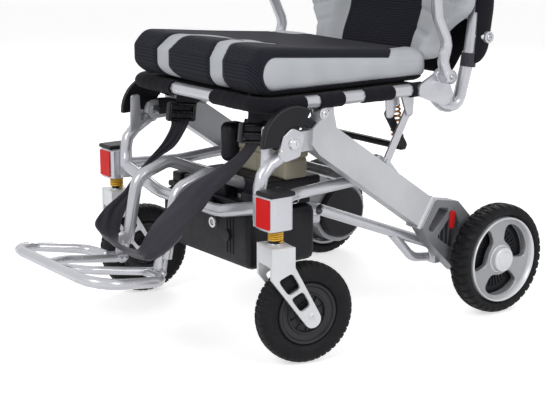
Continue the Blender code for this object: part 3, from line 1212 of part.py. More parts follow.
def boxes():
    """The battery pack in its cradle and the controller above it."""
    width = 2 * BATTERY_HALF_WIDTH
    battery = block("battery", (width, BATTERY_REAR_Y - BATTERY_FRONT_Y, BATTERY_TOP - BATTERY_BOTTOM),
                    (0.0, (BATTERY_FRONT_Y + BATTERY_REAR_Y) / 2, (BATTERY_TOP + BATTERY_BOTTOM) / 2),
                    0.016, 2)
    cradle_y, cradle_z = station(-0.455, 0.285)
    shoulder_top = cradle_z - CRADLE_TUBE * TUBE_FLAT - GAP
    shoulder = block("shoulder", (0.104, 0.100, 0.040),
                     (0.0, cradle_y + 0.010, shoulder_top - 0.020), 0.004, 1)
    stud = cylinder("stud", 0.011, ((0.085, BATTERY_FRONT_Y + 0.002, 0.200),
                                    (0.085, BATTERY_FRONT_Y - 0.006, 0.200)), 14)
    keep(joined(battery, shoulder, stud), "battery_pack", BLACK)
    bottom = cradle_z + CRADLE_TUBE * TUBE_FLAT + GAP
    feet = [block("foot", (0.036, 0.022, 0.007), (sign * 0.105, CONTROLLER_FRONT_Y - 0.006, bottom + 0.0035), 0.001, 1)
            for side, sign in SIDES]
    controller = block("controller", (2 * CONTROLLER_HALF_WIDTH, CONTROLLER_REAR_Y - CONTROLLER_FRONT_Y,
                                      CONTROLLER_TOP - bottom),
                       (0.0, (CONTROLLER_FRONT_Y + CONTROLLER_REAR_Y) / 2, (CONTROLLER_TOP + bottom) / 2),
                       0.010, 2)
    rear = CONTROLLER_REAR_Y - 0.004
    case = block("case", (2 * CONTROLLER_HALF_WIDTH - 0.008, 0.054, 0.046),
                 (0.0, rear + 0.027, bottom + 0.023), 0.006, 1)
    keep(joined(controller, case, *feet), "controller_box", BEIGE)


def calf_strap():
    """The wide webbing strap that hangs from the tops of the front legs behind the calves."""
    bpy.ops.mesh.primitive_grid_add(x_subdivisions=18, y_subdivisions=3, size=1.0)
    thing = bpy.context.object
    for vert in thing.data.vertices:
        across = vert.co.x * 2
        up = vert.co.y * 2
        drop = 1 - abs(across) ** STRAP_SAG
        half_width = STRAP_END_WIDTH / 2 * (1 - drop) + STRAP_WIDTH / 2 * drop
        fold = STRAP_FOLD * math.sin(math.pi * 2.5 * across) * drop * (0.5 - 0.5 * up)
        y = STRAP_END_Y - STRAP_REACH * drop + fold
        z = STRAP_END_Z - STRAP_DROP * drop + half_width * up
        vert.co = (STRAP_HALF_SPAN * across, y, z)
    thick = thing.modifiers.new("webbing", "SOLIDIFY")
    thick.thickness = 0.003
    thick.offset = 0.0
    keep(smooth(thing), "calf_strap", FABRIC)


def build():
    """Make every body from the floor up."""
    for side, sign in SIDES:
        caster(side, sign)
        rear_wheel(side, sign)
    housing_trim()
    front_frame()
    pivot_bolts()
    boxes()
    calf_strap()
    footrest()
    fold = joint_empty("frame_fold_axis", Matrix.Translation((0.0, *FRONT_PIVOT)))
    for side, sign in SIDES:
        rear_frame_side(side, sign, fold)
    rear_stays(fold)
    seat = joint_empty("seat_fold_axis", Matrix.Translation((0.0, *SEAT_PIVOT)), fold)
    seat_frame(seat)
    seat_soft(seat)
    upper = joint_empty("brace_upper_axis", Matrix.Translation((0.0, *BRACE_TOP)), seat)
    lower = joint_empty("brace_lower_axis", Matrix.Translation((0.0, *BRACE_FOOT)), fold)
    brace_links(upper, lower)
    yoke = joint_empty("yoke_axis", Matrix.Translation((0.0, *YOKE_PIVOT)), seat)
    shock_yoke(yoke, seat)
    back_lower(seat)
    back = joint_empty("backrest_axis", Matrix.Translation((0.0, *BACK_PIVOT)), seat)
    back_upper(back)
    arms = {}
    for side, sign in SIDES:
        arms[side] = arm(side, sign, seat)
    joystick(arms["right"])


build()
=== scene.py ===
# %% [markdown]
# # A folding power wheelchair
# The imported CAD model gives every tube, wheel and hinge its true place. This file dresses it: the
# fabric, the moulded rubber, the finishes and the small hardware. It works from the general helpers
# to the camera and light, then to the finishes, and then piece by piece from the seat to the floor.
# Sizes are in metres. +Z is up, the chair faces -Y, and the user's left is +X.

# %% Load the fixed frame
import json
import math
import bmesh
import bpy
import numpy as np
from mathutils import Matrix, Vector

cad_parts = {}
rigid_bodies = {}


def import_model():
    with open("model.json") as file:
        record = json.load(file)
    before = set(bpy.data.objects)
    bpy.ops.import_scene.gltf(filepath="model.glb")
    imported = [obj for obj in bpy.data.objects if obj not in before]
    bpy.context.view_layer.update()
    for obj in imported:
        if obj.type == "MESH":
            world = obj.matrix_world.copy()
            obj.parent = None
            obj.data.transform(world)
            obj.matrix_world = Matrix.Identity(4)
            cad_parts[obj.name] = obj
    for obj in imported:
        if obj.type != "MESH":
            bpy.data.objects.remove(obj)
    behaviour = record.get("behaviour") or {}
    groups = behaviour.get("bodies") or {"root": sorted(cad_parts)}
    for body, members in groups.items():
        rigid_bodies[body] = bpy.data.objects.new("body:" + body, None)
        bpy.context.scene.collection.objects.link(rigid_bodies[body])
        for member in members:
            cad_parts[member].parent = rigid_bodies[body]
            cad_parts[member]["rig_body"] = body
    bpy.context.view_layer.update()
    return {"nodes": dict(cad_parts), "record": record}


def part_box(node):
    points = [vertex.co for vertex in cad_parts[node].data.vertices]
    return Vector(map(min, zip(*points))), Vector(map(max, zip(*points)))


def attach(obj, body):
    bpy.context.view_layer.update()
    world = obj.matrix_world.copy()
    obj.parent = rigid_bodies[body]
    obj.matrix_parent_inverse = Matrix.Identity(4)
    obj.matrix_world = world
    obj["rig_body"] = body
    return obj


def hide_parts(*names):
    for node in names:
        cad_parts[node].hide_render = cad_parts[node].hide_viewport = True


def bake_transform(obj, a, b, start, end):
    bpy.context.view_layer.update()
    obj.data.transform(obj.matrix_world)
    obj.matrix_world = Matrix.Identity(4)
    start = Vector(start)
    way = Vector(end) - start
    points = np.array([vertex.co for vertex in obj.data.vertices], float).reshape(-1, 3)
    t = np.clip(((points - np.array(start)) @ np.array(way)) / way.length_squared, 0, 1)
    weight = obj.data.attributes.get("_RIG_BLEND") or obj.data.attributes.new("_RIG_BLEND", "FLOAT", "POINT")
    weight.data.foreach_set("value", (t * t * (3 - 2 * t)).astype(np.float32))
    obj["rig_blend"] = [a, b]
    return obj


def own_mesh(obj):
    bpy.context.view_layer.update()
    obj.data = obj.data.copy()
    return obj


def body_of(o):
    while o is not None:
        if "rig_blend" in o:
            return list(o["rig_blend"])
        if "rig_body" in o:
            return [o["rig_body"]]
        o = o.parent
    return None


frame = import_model()
print("CAD nodes:", len(frame["nodes"]))
SLOTS = {part["node"]: part["material_slot"] for part in frame["record"]["subparts"]}
SIDES = (("left", 1), ("right", -1))
ACROSS, UP = (1.0, 0.0, 0.0), (0.0, 0.0, 1.0)
SHARP_ANGLE, TURNED_ANGLE = 38.0, 35.0

# %% [markdown]
# ## Helpers for surfaces
# Most pieces here are a profile carried along a path, or a function of two parameters on a grid.
# A few small functions do that. They build whole arrays, so a piece with thousands of faces takes no
# more lines than one with ten.

# %% A mesh from arrays
def linked(name, data):
    """Put data into the scene as an object at the origin."""
    made = bpy.data.objects.new(name, data)
    bpy.context.scene.collection.objects.link(made)
    return made

def mesh_piece(name, points, quads, smooth=True):
    """Make an object whose faces are rows of point numbers; a row may have any length."""
    data = bpy.data.meshes.new(name)
    data.from_pydata(np.asarray(points, float).tolist(), [], [list(map(int, q)) for q in quads])
    data.update()
    if smooth:
        data.polygons.foreach_set("use_smooth", np.ones(len(data.polygons), bool))
    return linked(name, data)

def grid_quads(rows, columns, wrap_rows=False, wrap_columns=False):
    """Quads of a grid: corner (i, j) joins (i+1, j), (i+1, j+1) and (i, j+1)."""
    i, j = np.meshgrid(np.arange(rows if wrap_rows else rows - 1),
                       np.arange(columns if wrap_columns else columns - 1), indexing="ij")
    i, j = i.ravel(), j.ravel()
    i2, j2 = (i + 1) % rows, (j + 1) % columns
    return np.stack([i * columns + j, i * columns + j2, i2 * columns + j2, i2 * columns + j], 1)

def points_of(piece, layer="co"):
    """All vertex positions, or normals, as (count, 3)."""
    out = np.empty(len(piece.data.vertices) * 3)
    piece.data.vertices.foreach_get(layer, out)
    return out.reshape(-1, 3)

def set_points(piece, points):
    """Write vertex positions back to a mesh."""
    piece.data.vertices.foreach_set("co", np.asarray(points, float).ravel())
    piece.data.update()

def upright(piece):
    """Turn a closed mesh's faces so that its enclosed volume is positive."""
    data = piece.data
    data.calc_loop_triangles()
    corners = np.empty(len(data.loop_triangles) * 3, int)
    data.loop_triangles.foreach_get("vertices", corners)
    a, b, c = points_of(piece)[corners.reshape(-1, 3)].transpose(1, 0, 2)
    if np.einsum("ij,ij->i", a, np.cross(b, c)).sum() < 0:
        data.flip_normals()
    return piece

def edged(piece, angle):
    """Mark the edges sharper than an angle, so that shading breaks there."""
    piece.data.set_sharp_from_angle(angle=math.radians(angle))
    return piece

def lofted(name, rings, closed=False, edge=None):
    """Skin a stack of equal rings, shape (rings, points, 3); open stacks get a flat cap at each end."""
    rings = np.asarray(rings, float)
    rows, columns = rings.shape[:2]
    quads = grid_quads(rows, columns, closed, True).tolist()
    if not closed:
        quads += [list(range(columns))[::-1], list(range((rows - 1) * columns, rows * columns))]
    piece = upright(mesh_piece(name, rings.reshape(-1, 3), quads))
    return piece if edge is None else edged(piece, edge)

# %% Paths and frames
def unit(vectors):
    """Scale each vector to length one."""
    vectors = np.asarray(vectors, float)
    return vectors / np.linalg.norm(vectors, axis=-1, keepdims=True)

def rounded(corners, radius, arc=7):
    """A corner path with each inner corner replaced by a circular arc tangent to both its sides."""
    p = np.asarray(corners, float)
    radius = np.broadcast_to(radius, len(p) - 2)
    out = [p[:1]]
    for before, corner, after, r in zip(p[:-2], p[1:-1], p[2:], radius):
        to_before, to_after = unit(before - corner), unit(after - corner)
        half = math.acos(float(np.clip(to_before @ to_after, -1, 1))) / 2
        reach = r / math.tan(half)
        centre = corner + unit(to_before + to_after) * r / math.sin(half)
        first, last = corner + to_before * reach - centre, corner + to_after * reach - centre
        turn = math.pi - 2 * half
        t = np.linspace(0, 1, arc)[:, None]
        out.append(centre + (first * np.sin((1 - t) * turn) + last * np.sin(t * turn)) / math.sin(turn))
    out.append(p[-1:])
    return np.vstack(out)

def even(path, count):
    """Resample a path to points an equal distance apart along it."""
    p = np.asarray(path, float)
    along = np.r_[0, np.cumsum(np.linalg.norm(np.diff(p, axis=0), axis=1))]
    at = np.linspace(0, along[-1], count)
    return np.stack([np.interp(at, along, p[:, k]) for k in range(p.shape[1])], 1)

def path_length(path):
    """The length of a path."""
    return float(np.linalg.norm(np.diff(path, axis=0), axis=1).sum())

def curve(knots, count):
    """A smooth curve through knots: a Catmull-Rom spline, resampled evenly."""
    k = np.asarray(knots, float)
    k = np.vstack([2 * k[0] - k[1], k, 2 * k[-1] - k[-2]])
    t = np.linspace(0, 1, 12, endpoint=False)[:, None]
    parts = []
    for a, b, c, d in zip(k[:-3], k[1:-2], k[2:-1], k[3:]):
        parts.append(0.5 * (2 * b + (c - a) * t + (2 * a - 5 * b + 4 * c - d) * t ** 2
                            + (3 * b - a - 3 * c + d) * t ** 3))
    return even(np.vstack(parts + [k[-2:-1]]), count)

def axes_along(path, reference):
    """Two unit vectors across a path at each point: reference made square to it, and their cross product."""
    p = np.asarray(path, float)
    along = unit(np.gradient(p, axis=0))
    reference = np.broadcast_to(np.asarray(reference, float), p.shape)
    first = unit(reference - along * (reference * along).sum(1, keepdims=True))
    return first, np.cross(along, first)

def swept(name, path, profile, reference, scale=1.0, edge=None):
    """Carry a closed 2-D profile (first, second) along a path; scale sizes it at each point."""
    first, second = axes_along(path, reference)
    profile = np.asarray(profile, float)
    scale = np.broadcast_to(np.asarray(scale, float).reshape(-1, 1, 1), (len(path), 1, 1))
    rings = (np.asarray(path)[:, None] + scale * (profile[None, :, :1] * first[:, None]
                                                  + profile[None, :, 1:] * second[:, None]))
    return lofted(name, rings, edge=edge)

def circle(radius, count=20):
    """Points of a circle, as (count, 2)."""
    t = np.linspace(0, 2 * math.pi, count, endpoint=False)
    return radius * np.stack([np.cos(t), np.sin(t)], 1)

def soft_box(width, height, radius, arc=5):
    """The outline of a rectangle with rounded corners, as (points, 2)."""
    t = np.linspace(0, math.pi / 2, arc)
    out = []
    for k, (sx, sy) in enumerate(((1, 1), (-1, 1), (-1, -1), (1, -1))):
        a = t + k * math.pi / 2
        out.append(np.stack([sx * (width / 2 - radius) + radius * np.cos(a),
                             sy * (height / 2 - radius) + radius * np.sin(a)], 1))
    return np.vstack(out)

def turned(name, profile, centre, axis, count=32, closed=False):
    """Spin a profile of (radius, distance along axis) about an axis; a closed profile makes a ring."""
    profile, axis = np.asarray(profile, float), unit(axis)
    first = unit(np.cross(UP if abs(axis[2]) < 0.9 else ACROSS, axis))
    ring = circle(1.0, count)
    spokes = ring[:, :1] * first + ring[:, 1:] * np.cross(axis, first)
    rings = np.asarray(centre, float) + profile[:, None, :1] * spokes[None] + profile[:, None, 1:] * axis
    return lofted(name, rings, closed, TURNED_ANGLE)

def blocky(low, high, radius, cells=3):
    """A box with every edge rounded: each point of a cube's skin is moved to the sphere of its corner."""
    low, high = np.asarray(low, float), np.asarray(high, float)
    half = (high - low) / 2
    points, quads = cube_skin(half, np.minimum(radius, half * 0.98), cells)
    return upright(mesh_piece("box", points + (high + low) / 2, quads))

def cube_skin(half, radius, cells, spans=(1, 1, 1)):
    """The skin of a rounded box about the origin, as points and quads.

    The grid lines of each axis are dense within one radius of the faces and even between.
    A point P has its core Q = P held within half - radius, and moves to Q + radius * (P - Q) / |P - Q|.
    """
    radius = np.broadcast_to(radius, 3)
    lines = []
    for k in range(3):
        bend = half[k] - radius[k] * (1 - np.tan(np.linspace(0, math.pi / 4, cells + 1)))
        flat = np.linspace(-(half[k] - radius[k]), half[k] - radius[k], spans[k] + 1)
        lines.append(np.unique(np.round(np.r_[-bend, flat, bend], 9)))
    points, quads, base = [], [], 0
    for k in range(3):
        a, b = (k + 1) % 3, (k + 2) % 3
        u, v = np.meshgrid(lines[a], lines[b], indexing="ij")
        for side in (-1, 1):
            face = np.empty(u.shape + (3,))
            face[..., k], face[..., a], face[..., b] = side * half[k], u, v
            q = grid_quads(*u.shape)
            quads.append((q if side > 0 else q[:, ::-1]) + base)
            points.append(face.reshape(-1, 3))
            base += u.size
    points, quads = np.vstack(points), np.vstack(quads)
    _, first, number = np.unique(np.round(points / 1e-7).astype(np.int64), axis=0, return_index=True,
                                 return_inverse=True)
    points, quads = points[first], number.reshape(-1)[quads]
    core = np.clip(points, -(half - radius), half - radius)
    out = (points - core) / radius
    length = np.linalg.norm(out, axis=1, keepdims=True)
    return core + radius * out / np.maximum(length, 1e-9), quads

# %% Plates made of cells, and rings
def welded(name, parts, edge=SHARP_ANGLE, reach=2e-5):
    """Join lists of (points, quads) and merge the points that lie on one another."""
    points, quads, base = [], [], 0
    for some_points, some_quads in parts:
        points.append(np.asarray(some_points).reshape(-1, 3))
        quads += [[int(v) + base for v in q] for q in some_quads]
        base += len(points[-1])
    piece = mesh_piece(name, np.vstack(points), quads)
    mesh = bmesh.new()
    mesh.from_mesh(piece.data)
    bmesh.ops.remove_doubles(mesh, verts=mesh.verts, dist=reach)
    mesh.to_mesh(piece.data)
    mesh.free()
    return edged(upright(piece), edge)

def chosen_walls(square, first, second, walls):
    """The wall quads whose middle lies on a chosen side; the order is +u, -u, +v, -v."""
    middle = (square[first] + square[second]) / 2
    tests = (middle[:, 0] > 0.999, middle[:, 0] < -0.999, middle[:, 1] > 0.999, middle[:, 1] < -0.999)
    return np.any([test & bool(wall) for test, wall in zip(tests, walls)], axis=0)

def pierced(mapping, hole, walls, power=5.0, count=48, rows=(0.0, 0.05, 0.14, 0.3, 0.6, 1.0)):
    """One cell of a plate with a rounded hole, as (points, quads).

    mapping(u, v, side, s) places a point: u and v run over the cell from -1 to 1, side is +1 or -1
    for the two faces, and s is 0 at the hole and 1 at the cell's border. The hole is the curve
    |u / hole_u|^power + |v / hole_v|^power = 1.
    """
    t = 2 * math.pi * np.arange(count) / count
    ray = np.stack([np.cos(t), np.sin(t)], 1)
    square = ray / np.abs(ray).max(1, keepdims=True)
    ring = np.asarray(hole) * ray / (np.abs(ray) ** power).sum(1, keepdims=True) ** (1 / power)
    s = np.asarray(rows)[:, None, None]
    uv = ring * (1 - s) + square * s
    near = np.broadcast_to(s[..., 0], uv.shape[:2])
    points = [mapping(uv[..., 0], uv[..., 1], side, near).reshape(-1, 3) for side in (1, -1)]
    skin = grid_quads(len(rows), count, False, True)
    other = len(rows) * count
    first = np.arange(count)
    second = (first + 1) % count
    last = (len(rows) - 1) * count
    inner = np.stack([second, first, first + other, second + other], 1)
    outer = np.stack([first, second, second + other, first + other], 1) + last
    keep = chosen_walls(square, first, second, walls)
    return np.vstack(points), np.vstack([skin, skin[:, ::-1] + other, inner, outer[keep]])

def solid_cell(mapping, walls, count=48):
    """A cell without a hole, on the same border points as a pierced one, so that they weld."""
    k = np.tan(np.linspace(-math.pi / 4, math.pi / 4, count // 4 + 1))
    u, v = np.meshgrid(k, k, indexing="ij")
    n = len(k)
    points = [mapping(u, v, side, np.ones_like(u)).reshape(-1, 3) for side in (1, -1)]
    skin = grid_quads(n, n)
    number = np.arange(n * n).reshape(n, n)
    loop = np.r_[number[:-1, 0], number[-1, :-1], number[:0:-1, -1], number[0, :0:-1]]
    follow = np.roll(loop, -1)
    keep = chosen_walls(np.stack([u.ravel(), v.ravel()], 1), loop, follow, walls)
    wall = np.stack([loop, follow, follow + n * n, loop + n * n], 1)[keep]
    return np.vstack(points), np.vstack([skin, skin[:, ::-1] + n * n, wall])

def bevelled(piece, width=0.0008, segments=2, angle=40.0):
    """Round the sharp edges with a Bevel modifier that leaves the flat faces' shading flat."""
    made = piece.modifiers.new("edges", "BEVEL")
    made.width, made.segments = width, segments
    made.limit_method, made.angle_limit = "ANGLE", math.radians(angle)
    made.harden_normals = True
    return piece

def tube(corners, radius, bend=None, reference=(0.03, 0.05, 1.0), step=0.004):
    """A round tube along corner points with bent corners."""
    path = np.asarray(corners, float) if bend is None else rounded(corners, bend, 12)
    count = max(8, int(path_length(path) / step))
    return swept("tube", even(path, count), circle(radius, 24), reference, edge=60)

def screw(centre, out, radius, height):
    """A pan head on a washer, with a hexagon socket sunk in it."""
    head = [(0.0, -0.002), (radius * 1.45, -0.002), (radius * 1.45, 0.0006), (radius * 1.05, 0.0010),
            (radius, height * 0.75), (radius * 0.75, height), (radius * 0.48, height * 1.02),
            (radius * 0.44, height * 0.45), (0.0, height * 0.40)]
    return turned("screw", head, centre, out, 24)

# %% Joining and dressing
def joined(name, *pieces):
    """Join pieces into one object under a new name."""
    points, quads, base = [], [], 0
    for piece in pieces:
        points.append(points_of(piece))
        quads += [[v + base for v in face.vertices] for face in piece.data.polygons]
        base += len(piece.data.vertices)
    for piece in pieces:
        bpy.data.objects.remove(piece, do_unlink=True)
    return edged(mesh_piece(name, np.vstack(points), quads), SHARP_ANGLE)

def thickened(sheet, thickness):
    """Give a sheet a thickness with a Solidify modifier, half to each side."""
    made = sheet.modifiers.new("cloth", "SOLIDIFY")
    made.thickness, made.offset = thickness, 0.0
    return sheet

def attribute(piece, name, values):
    """Store one number per vertex under a name, for a material to read."""
    layer = piece.data.attributes.new(name, "FLOAT", "POINT")
    layer.data.foreach_set("value", np.asarray(values, np.float32))

def smoothstep(low, high, value):
    """0 below low, 1 above high, and an S-curve between."""
    t = np.clip((value - low) / (high - low), 0, 1)
    return t * t * (3 - 2 * t)

def body_of_node(name):
    """The body that a CAD node moves with."""
    return body_of(frame["nodes"][name])[0]

def dressed(piece, body, finish, replaces=()):
    """Give a piece its finish and its body, and hide the nodes that it stands for."""
    if finish is not None:
        piece.data.materials.clear()
        piece.data.materials.append(finish)
    if body:
        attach(piece, body)
    if replaces:
        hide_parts(*replaces)
    return piece

# %% [markdown]
# ## Camera, floor and light
# The camera stands at the photograph's viewpoint: in front of the chair and to the user's left,
# a little above the seat. Its place was fitted to the wheels and tubes. The light is a plain soft
# studio. The white surround is seen by the camera and by reflections, while the lamps stay level.

# %% Camera
CAMERA_PLACE = (2.17216, -1.60670, 0.86221)
CAMERA_AIM = (0.95531, -0.70473, 0.50148)
LENS = 90.115

def look(thing, place_at, aim):
    """Put a camera or a lamp at a place and point it at another."""
    thing.location = place_at
    thing.rotation_euler = (Vector(aim) - Vector(place_at)).to_track_quat("-Z", "Y").to_euler()

lens = bpy.data.cameras.new("camera")
lens.lens = LENS
lens.sensor_width = 36.0
camera = linked("camera", lens)
look(camera, CAMERA_PLACE, CAMERA_AIM)
bpy.context.scene.camera = camera
bpy.context.scene.view_settings.view_transform = "Standard"

# %% Shader helpers
def node(tree, kind, **settings):
    """Add a node and set its options; a socket is set by its name with underscores for spaces."""
    made = tree.nodes.new("ShaderNode" + kind)
    for key, value in settings.items():
        if hasattr(made, key):
            setattr(made, key, value)
        else:
            made.inputs[key.replace("_", " ")].default_value = value
    return made

def new_material(name):
    """An empty Principled material, as (material, tree, shader)."""
    made = bpy.data.materials.new(name)
    made.use_nodes = True
    return made, made.node_tree, made.node_tree.nodes["Principled BSDF"]

def settle(shader, **values):
    """Set sockets to numbers or colours; an underscore stands for a space in a socket's name."""
    for key, value in values.items():
        shader.inputs[key.replace("_", " ")].default_value = value

def maths(tree, operation, first, second=None, third=None):
    """One Math node; each input is a number or another node's socket."""
    made = node(tree, "Math", operation=operation)
    for k, value in enumerate((first, second, third)):
        if value is None:
            continue
        if isinstance(value, (int, float)):
            made.inputs[k].default_value = value
        else:
            tree.links.new(value, made.inputs[k])
    return made.outputs[0]

def place(tree, stretch=(1, 1, 1)):
    """Object coordinates, stretched by a Mapping node."""
    where = node(tree, "TexCoord")
    mapping = node(tree, "Mapping", Scale=stretch)
    tree.links.new(where.outputs["Object"], mapping.inputs["Vector"])
    return mapping.outputs["Vector"]

def place_parts(tree):
    """Object coordinates as three sockets named X, Y and Z."""
    made = node(tree, "SeparateXYZ")
    tree.links.new(place(tree), made.inputs[0])
    return made.outputs

def noise(tree, scale, detail=2.0, stretch=(1, 1, 1)):
    """A noise pattern on Object coordinates, from 0 to 1."""
    made = node(tree, "TexNoise", Scale=scale, Detail=detail)
    tree.links.new(place(tree, stretch), made.inputs["Vector"])
    return made.outputs["Fac"]

def ramp(tree, value, low, high, out_low=0.0, out_high=1.0):
    """Map a value smoothly from one range to another."""
    made = node(tree, "MapRange", interpolation_type="SMOOTHSTEP")
    tree.links.new(value, made.inputs["Value"])
    for key, number in (("From Min", low), ("From Max", high), ("To Min", out_low), ("To Max", out_high)):
        made.inputs[key].default_value = number
    return made.outputs["Result"]

def mixed(tree, share, first, second):
    """Mix two colours; each is a tuple or a socket."""
    made = node(tree, "Mix", data_type="RGBA")
    for socket, value in ((made.inputs[0], share), (made.inputs[6], first), (made.inputs[7], second)):
        if isinstance(value, tuple):
            socket.default_value = (*value, 1.0)
        elif isinstance(value, (int, float)):
            socket.default_value = value
        else:
            tree.links.new(value, socket)
    return made.outputs[2]

def raised(tree, shader, height, distance, strength=1.0, under=None):
    """Feed a height into the shader's normal through a Bump node."""
    made = node(tree, "Bump", Strength=strength, Distance=distance)
    tree.links.new(height, made.inputs["Height"])
    if under is not None:
        tree.links.new(under, made.inputs["Normal"])
    tree.links.new(made.outputs["Normal"], shader.inputs["Normal"])
    return made.outputs["Normal"]

# %% Floor, surround and lamps
FLOOR_COLOUR = (0.86, 0.86, 0.87)
FLOOR_GLOW = 0.60
SURROUND_SEEN, SURROUND_LIGHT = 0.68, 0.32
FAR, BELOW = 30, -0.0005

def seen_directly(tree):
    """1 for rays that show the surround, from the camera or through gloss or glass, and 0 for others."""
    path = node(tree, "LightPath")
    return maths(tree, "MAXIMUM", path.outputs["Is Camera Ray"],
                 maths(tree, "MAXIMUM", path.outputs["Is Glossy Ray"], path.outputs["Is Transmission Ray"]))

plane = mesh_piece("floor", [(-FAR, -FAR, BELOW), (FAR, -FAR, BELOW), (FAR, FAR, BELOW), (-FAR, FAR, BELOW)],
                   [(0, 1, 2, 3)], smooth=False)
floor_finish, tree, shader = new_material("pale_floor")
settle(shader, Base_Color=(*FLOOR_COLOUR, 1.0), Roughness=0.6, Specular_IOR_Level=0.15)
glow = node(tree, "Emission", Color=(1.0, 1.0, 1.0, 1.0))
total = node(tree, "AddShader")
tree.links.new(maths(tree, "MULTIPLY", seen_directly(tree), FLOOR_GLOW), glow.inputs["Strength"])
tree.links.new(shader.outputs[0], total.inputs[0])
tree.links.new(glow.outputs[0], total.inputs[1])
tree.links.new(total.outputs[0], tree.nodes["Material Output"].inputs["Surface"])
plane.data.materials.append(floor_finish)

world = bpy.data.worlds.new("studio")
bpy.context.scene.world = world
world.use_nodes = True
tree = world.node_tree
background = tree.nodes["Background"]
settle(background, Color=(1.0, 1.0, 1.0, 1.0))
tree.links.new(maths(tree, "MULTIPLY_ADD", seen_directly(tree), SURROUND_SEEN, SURROUND_LIGHT),
               background.inputs["Strength"])

def lamp(name, place_at, aim, size, watts):
    """A square area lamp that looks at a point."""
    made = bpy.data.lights.new(name, "AREA")
    made.shape = "RECTANGLE"
    made.size, made.size_y = size
    made.energy = watts
    look(linked(name, made), place_at, aim)

lamp("key", (1.2, -3.2, 3.0), (0.0, 0.0, 0.35), (1.8, 1.8), 62.0)
lamp("side", (3.2, 0.6, 2.0), (0.0, 0.0, 0.35), (1.2, 1.6), 30.0)
lamp("back", (-2.2, 2.4, 2.4), (0.0, 0.0, 0.4), (1.6, 1.6), 34.0)

# %% [markdown]
# ## Finishes
# Each finish is what a hand would feel: a satin paint with a faint grain, cast metal with a rough
# skin, plastic with a fine moulded grain, rubber, and four fabrics. Colour and roughness vary
# a little over every part, and the height patterns are in real sizes, because they read Object
# coordinates in metres.

# %% Metals and plastics
def coated(name, colour, roughness, metallic, grain=0.00006, grain_scale=900.0, coat=0.0, spread=0.10,
           stretch=(1, 1, 1), shine=0.5):
    """A hard finish: slow colour change, faint roughness change and a fine grain in the height."""
    made, tree, shader = new_material(name)
    slow = noise(tree, 7.0, 3.0)
    dark = tuple(c * (1 - spread) for c in colour)
    light = tuple(min(1.0, c * (1 + spread * 0.6)) for c in colour)
    tree.links.new(mixed(tree, ramp(tree, slow, 0.3, 0.7), dark, light), shader.inputs["Base Color"])
    rub = noise(tree, 60.0, 4.0, stretch)
    rough = ramp(tree, rub, 0.25, 0.75, roughness * 0.88, roughness * 1.15)
    tree.links.new(rough, shader.inputs["Roughness"])
    settle(shader, Metallic=metallic, Specular_IOR_Level=shine, Coat_Weight=coat, Coat_Roughness=0.12)
    raised(tree, shader, noise(tree, grain_scale, 2.0, stretch), grain, 0.6)
    return made

SILVER = coated("silver_paint", (0.60, 0.605, 0.645), 0.24, 0.45, grain=0.00001, spread=0.06)
BEAM = coated("beam_silver", (0.58, 0.595, 0.620), 0.38, 0.25, grain=0.00016, grain_scale=500.0, coat=0.1)
BRUSHED = coated("brushed_aluminium", (0.37, 0.375, 0.395), 0.36, 0.35, grain=0.00020, grain_scale=420.0)
FORGED = coated("forged_fork", (0.76, 0.77, 0.79), 0.34, 0.25, grain=0.00012, grain_scale=600.0, coat=0.1)
CAST = coated("cast_aluminium", (0.29, 0.295, 0.315), 0.42, 0.50, grain=0.00040, grain_scale=380.0,
              spread=0.3)
STEEL = coated("bright_steel", (0.60, 0.60, 0.62), 0.22, 0.85, spread=0.06)
BLACK = coated("black_plastic", (0.0100, 0.0100, 0.0135), 0.42, 0.0, grain=0.00022, grain_scale=650.0,
               spread=0.25, shine=0.22)
GLOSS_BLACK = coated("gloss_black", (0.009, 0.009, 0.012), 0.26, 0.0, spread=0.2, shine=0.45)
BEIGE = coated("beige_plastic", (0.42, 0.385, 0.295), 0.50, 0.0, grain=0.00020, grain_scale=600.0, shine=0.25)
RED_PLASTIC = coated("red_plastic", (0.66, 0.012, 0.012), 0.30, 0.0, coat=0.1, shine=0.3)
YELLOW = coated("yellow_spring", (0.80, 0.45, 0.02), 0.30, 0.10, coat=0.2)
COPPER = coated("copper_spring", (0.66, 0.26, 0.04), 0.34, 0.30, coat=0.2)
CHARCOAL = coated("charcoal_rim", (0.026, 0.026, 0.031), 0.44, 0.0, grain=0.00015, spread=0.2, shine=0.3)
RUBBER = coated("tyre_rubber", (0.0085, 0.0085, 0.0100), 0.60, 0.0, grain=0.00030, grain_scale=380.0,
                spread=0.35, shine=0.18)
GRIP = coated("grip_rubber", (0.0085, 0.0085, 0.0100), 0.62, 0.0, grain=0.00025, grain_scale=500.0,
              shine=0.18)

def moulded_foam():
    """Arm pads: moulded foam; its leather grain is the gap between the cells of a Voronoi pattern."""
    made, tree, shader = new_material("arm_pad_foam")
    cells = node(tree, "TexVoronoi", feature="DISTANCE_TO_EDGE", Scale=520.0)
    tree.links.new(place(tree), cells.inputs["Vector"])
    tree.links.new(mixed(tree, noise(tree, 30.0), (0.0080, 0.0080, 0.0100), (0.0150, 0.0150, 0.0180)),
                   shader.inputs["Base Color"])
    settle(shader, Roughness=0.55, Specular_IOR_Level=0.22)
    raised(tree, shader, ramp(tree, cells.outputs["Distance"], 0.0, 0.25), 0.00022, 0.8)
    return made

def reflector():
    """Red reflector: clear plastic over a field of small square prisms, 3 mm across."""
    made, tree, shader = new_material("red_reflector")
    cell = node(tree, "TexChecker", Scale=330.0)
    tree.links.new(place(tree), cell.inputs["Vector"])
    tree.links.new(mixed(tree, cell.outputs["Fac"], (0.78, 0.006, 0.006), (0.88, 0.010, 0.008)),
                   shader.inputs["Base Color"])
    settle(shader, Roughness=0.30, Specular_IOR_Level=0.15)
    raised(tree, shader, cell.outputs["Fac"], 0.0002, 0.3)
    return made

ARM_FOAM = moulded_foam()
REFLECTOR = reflector()

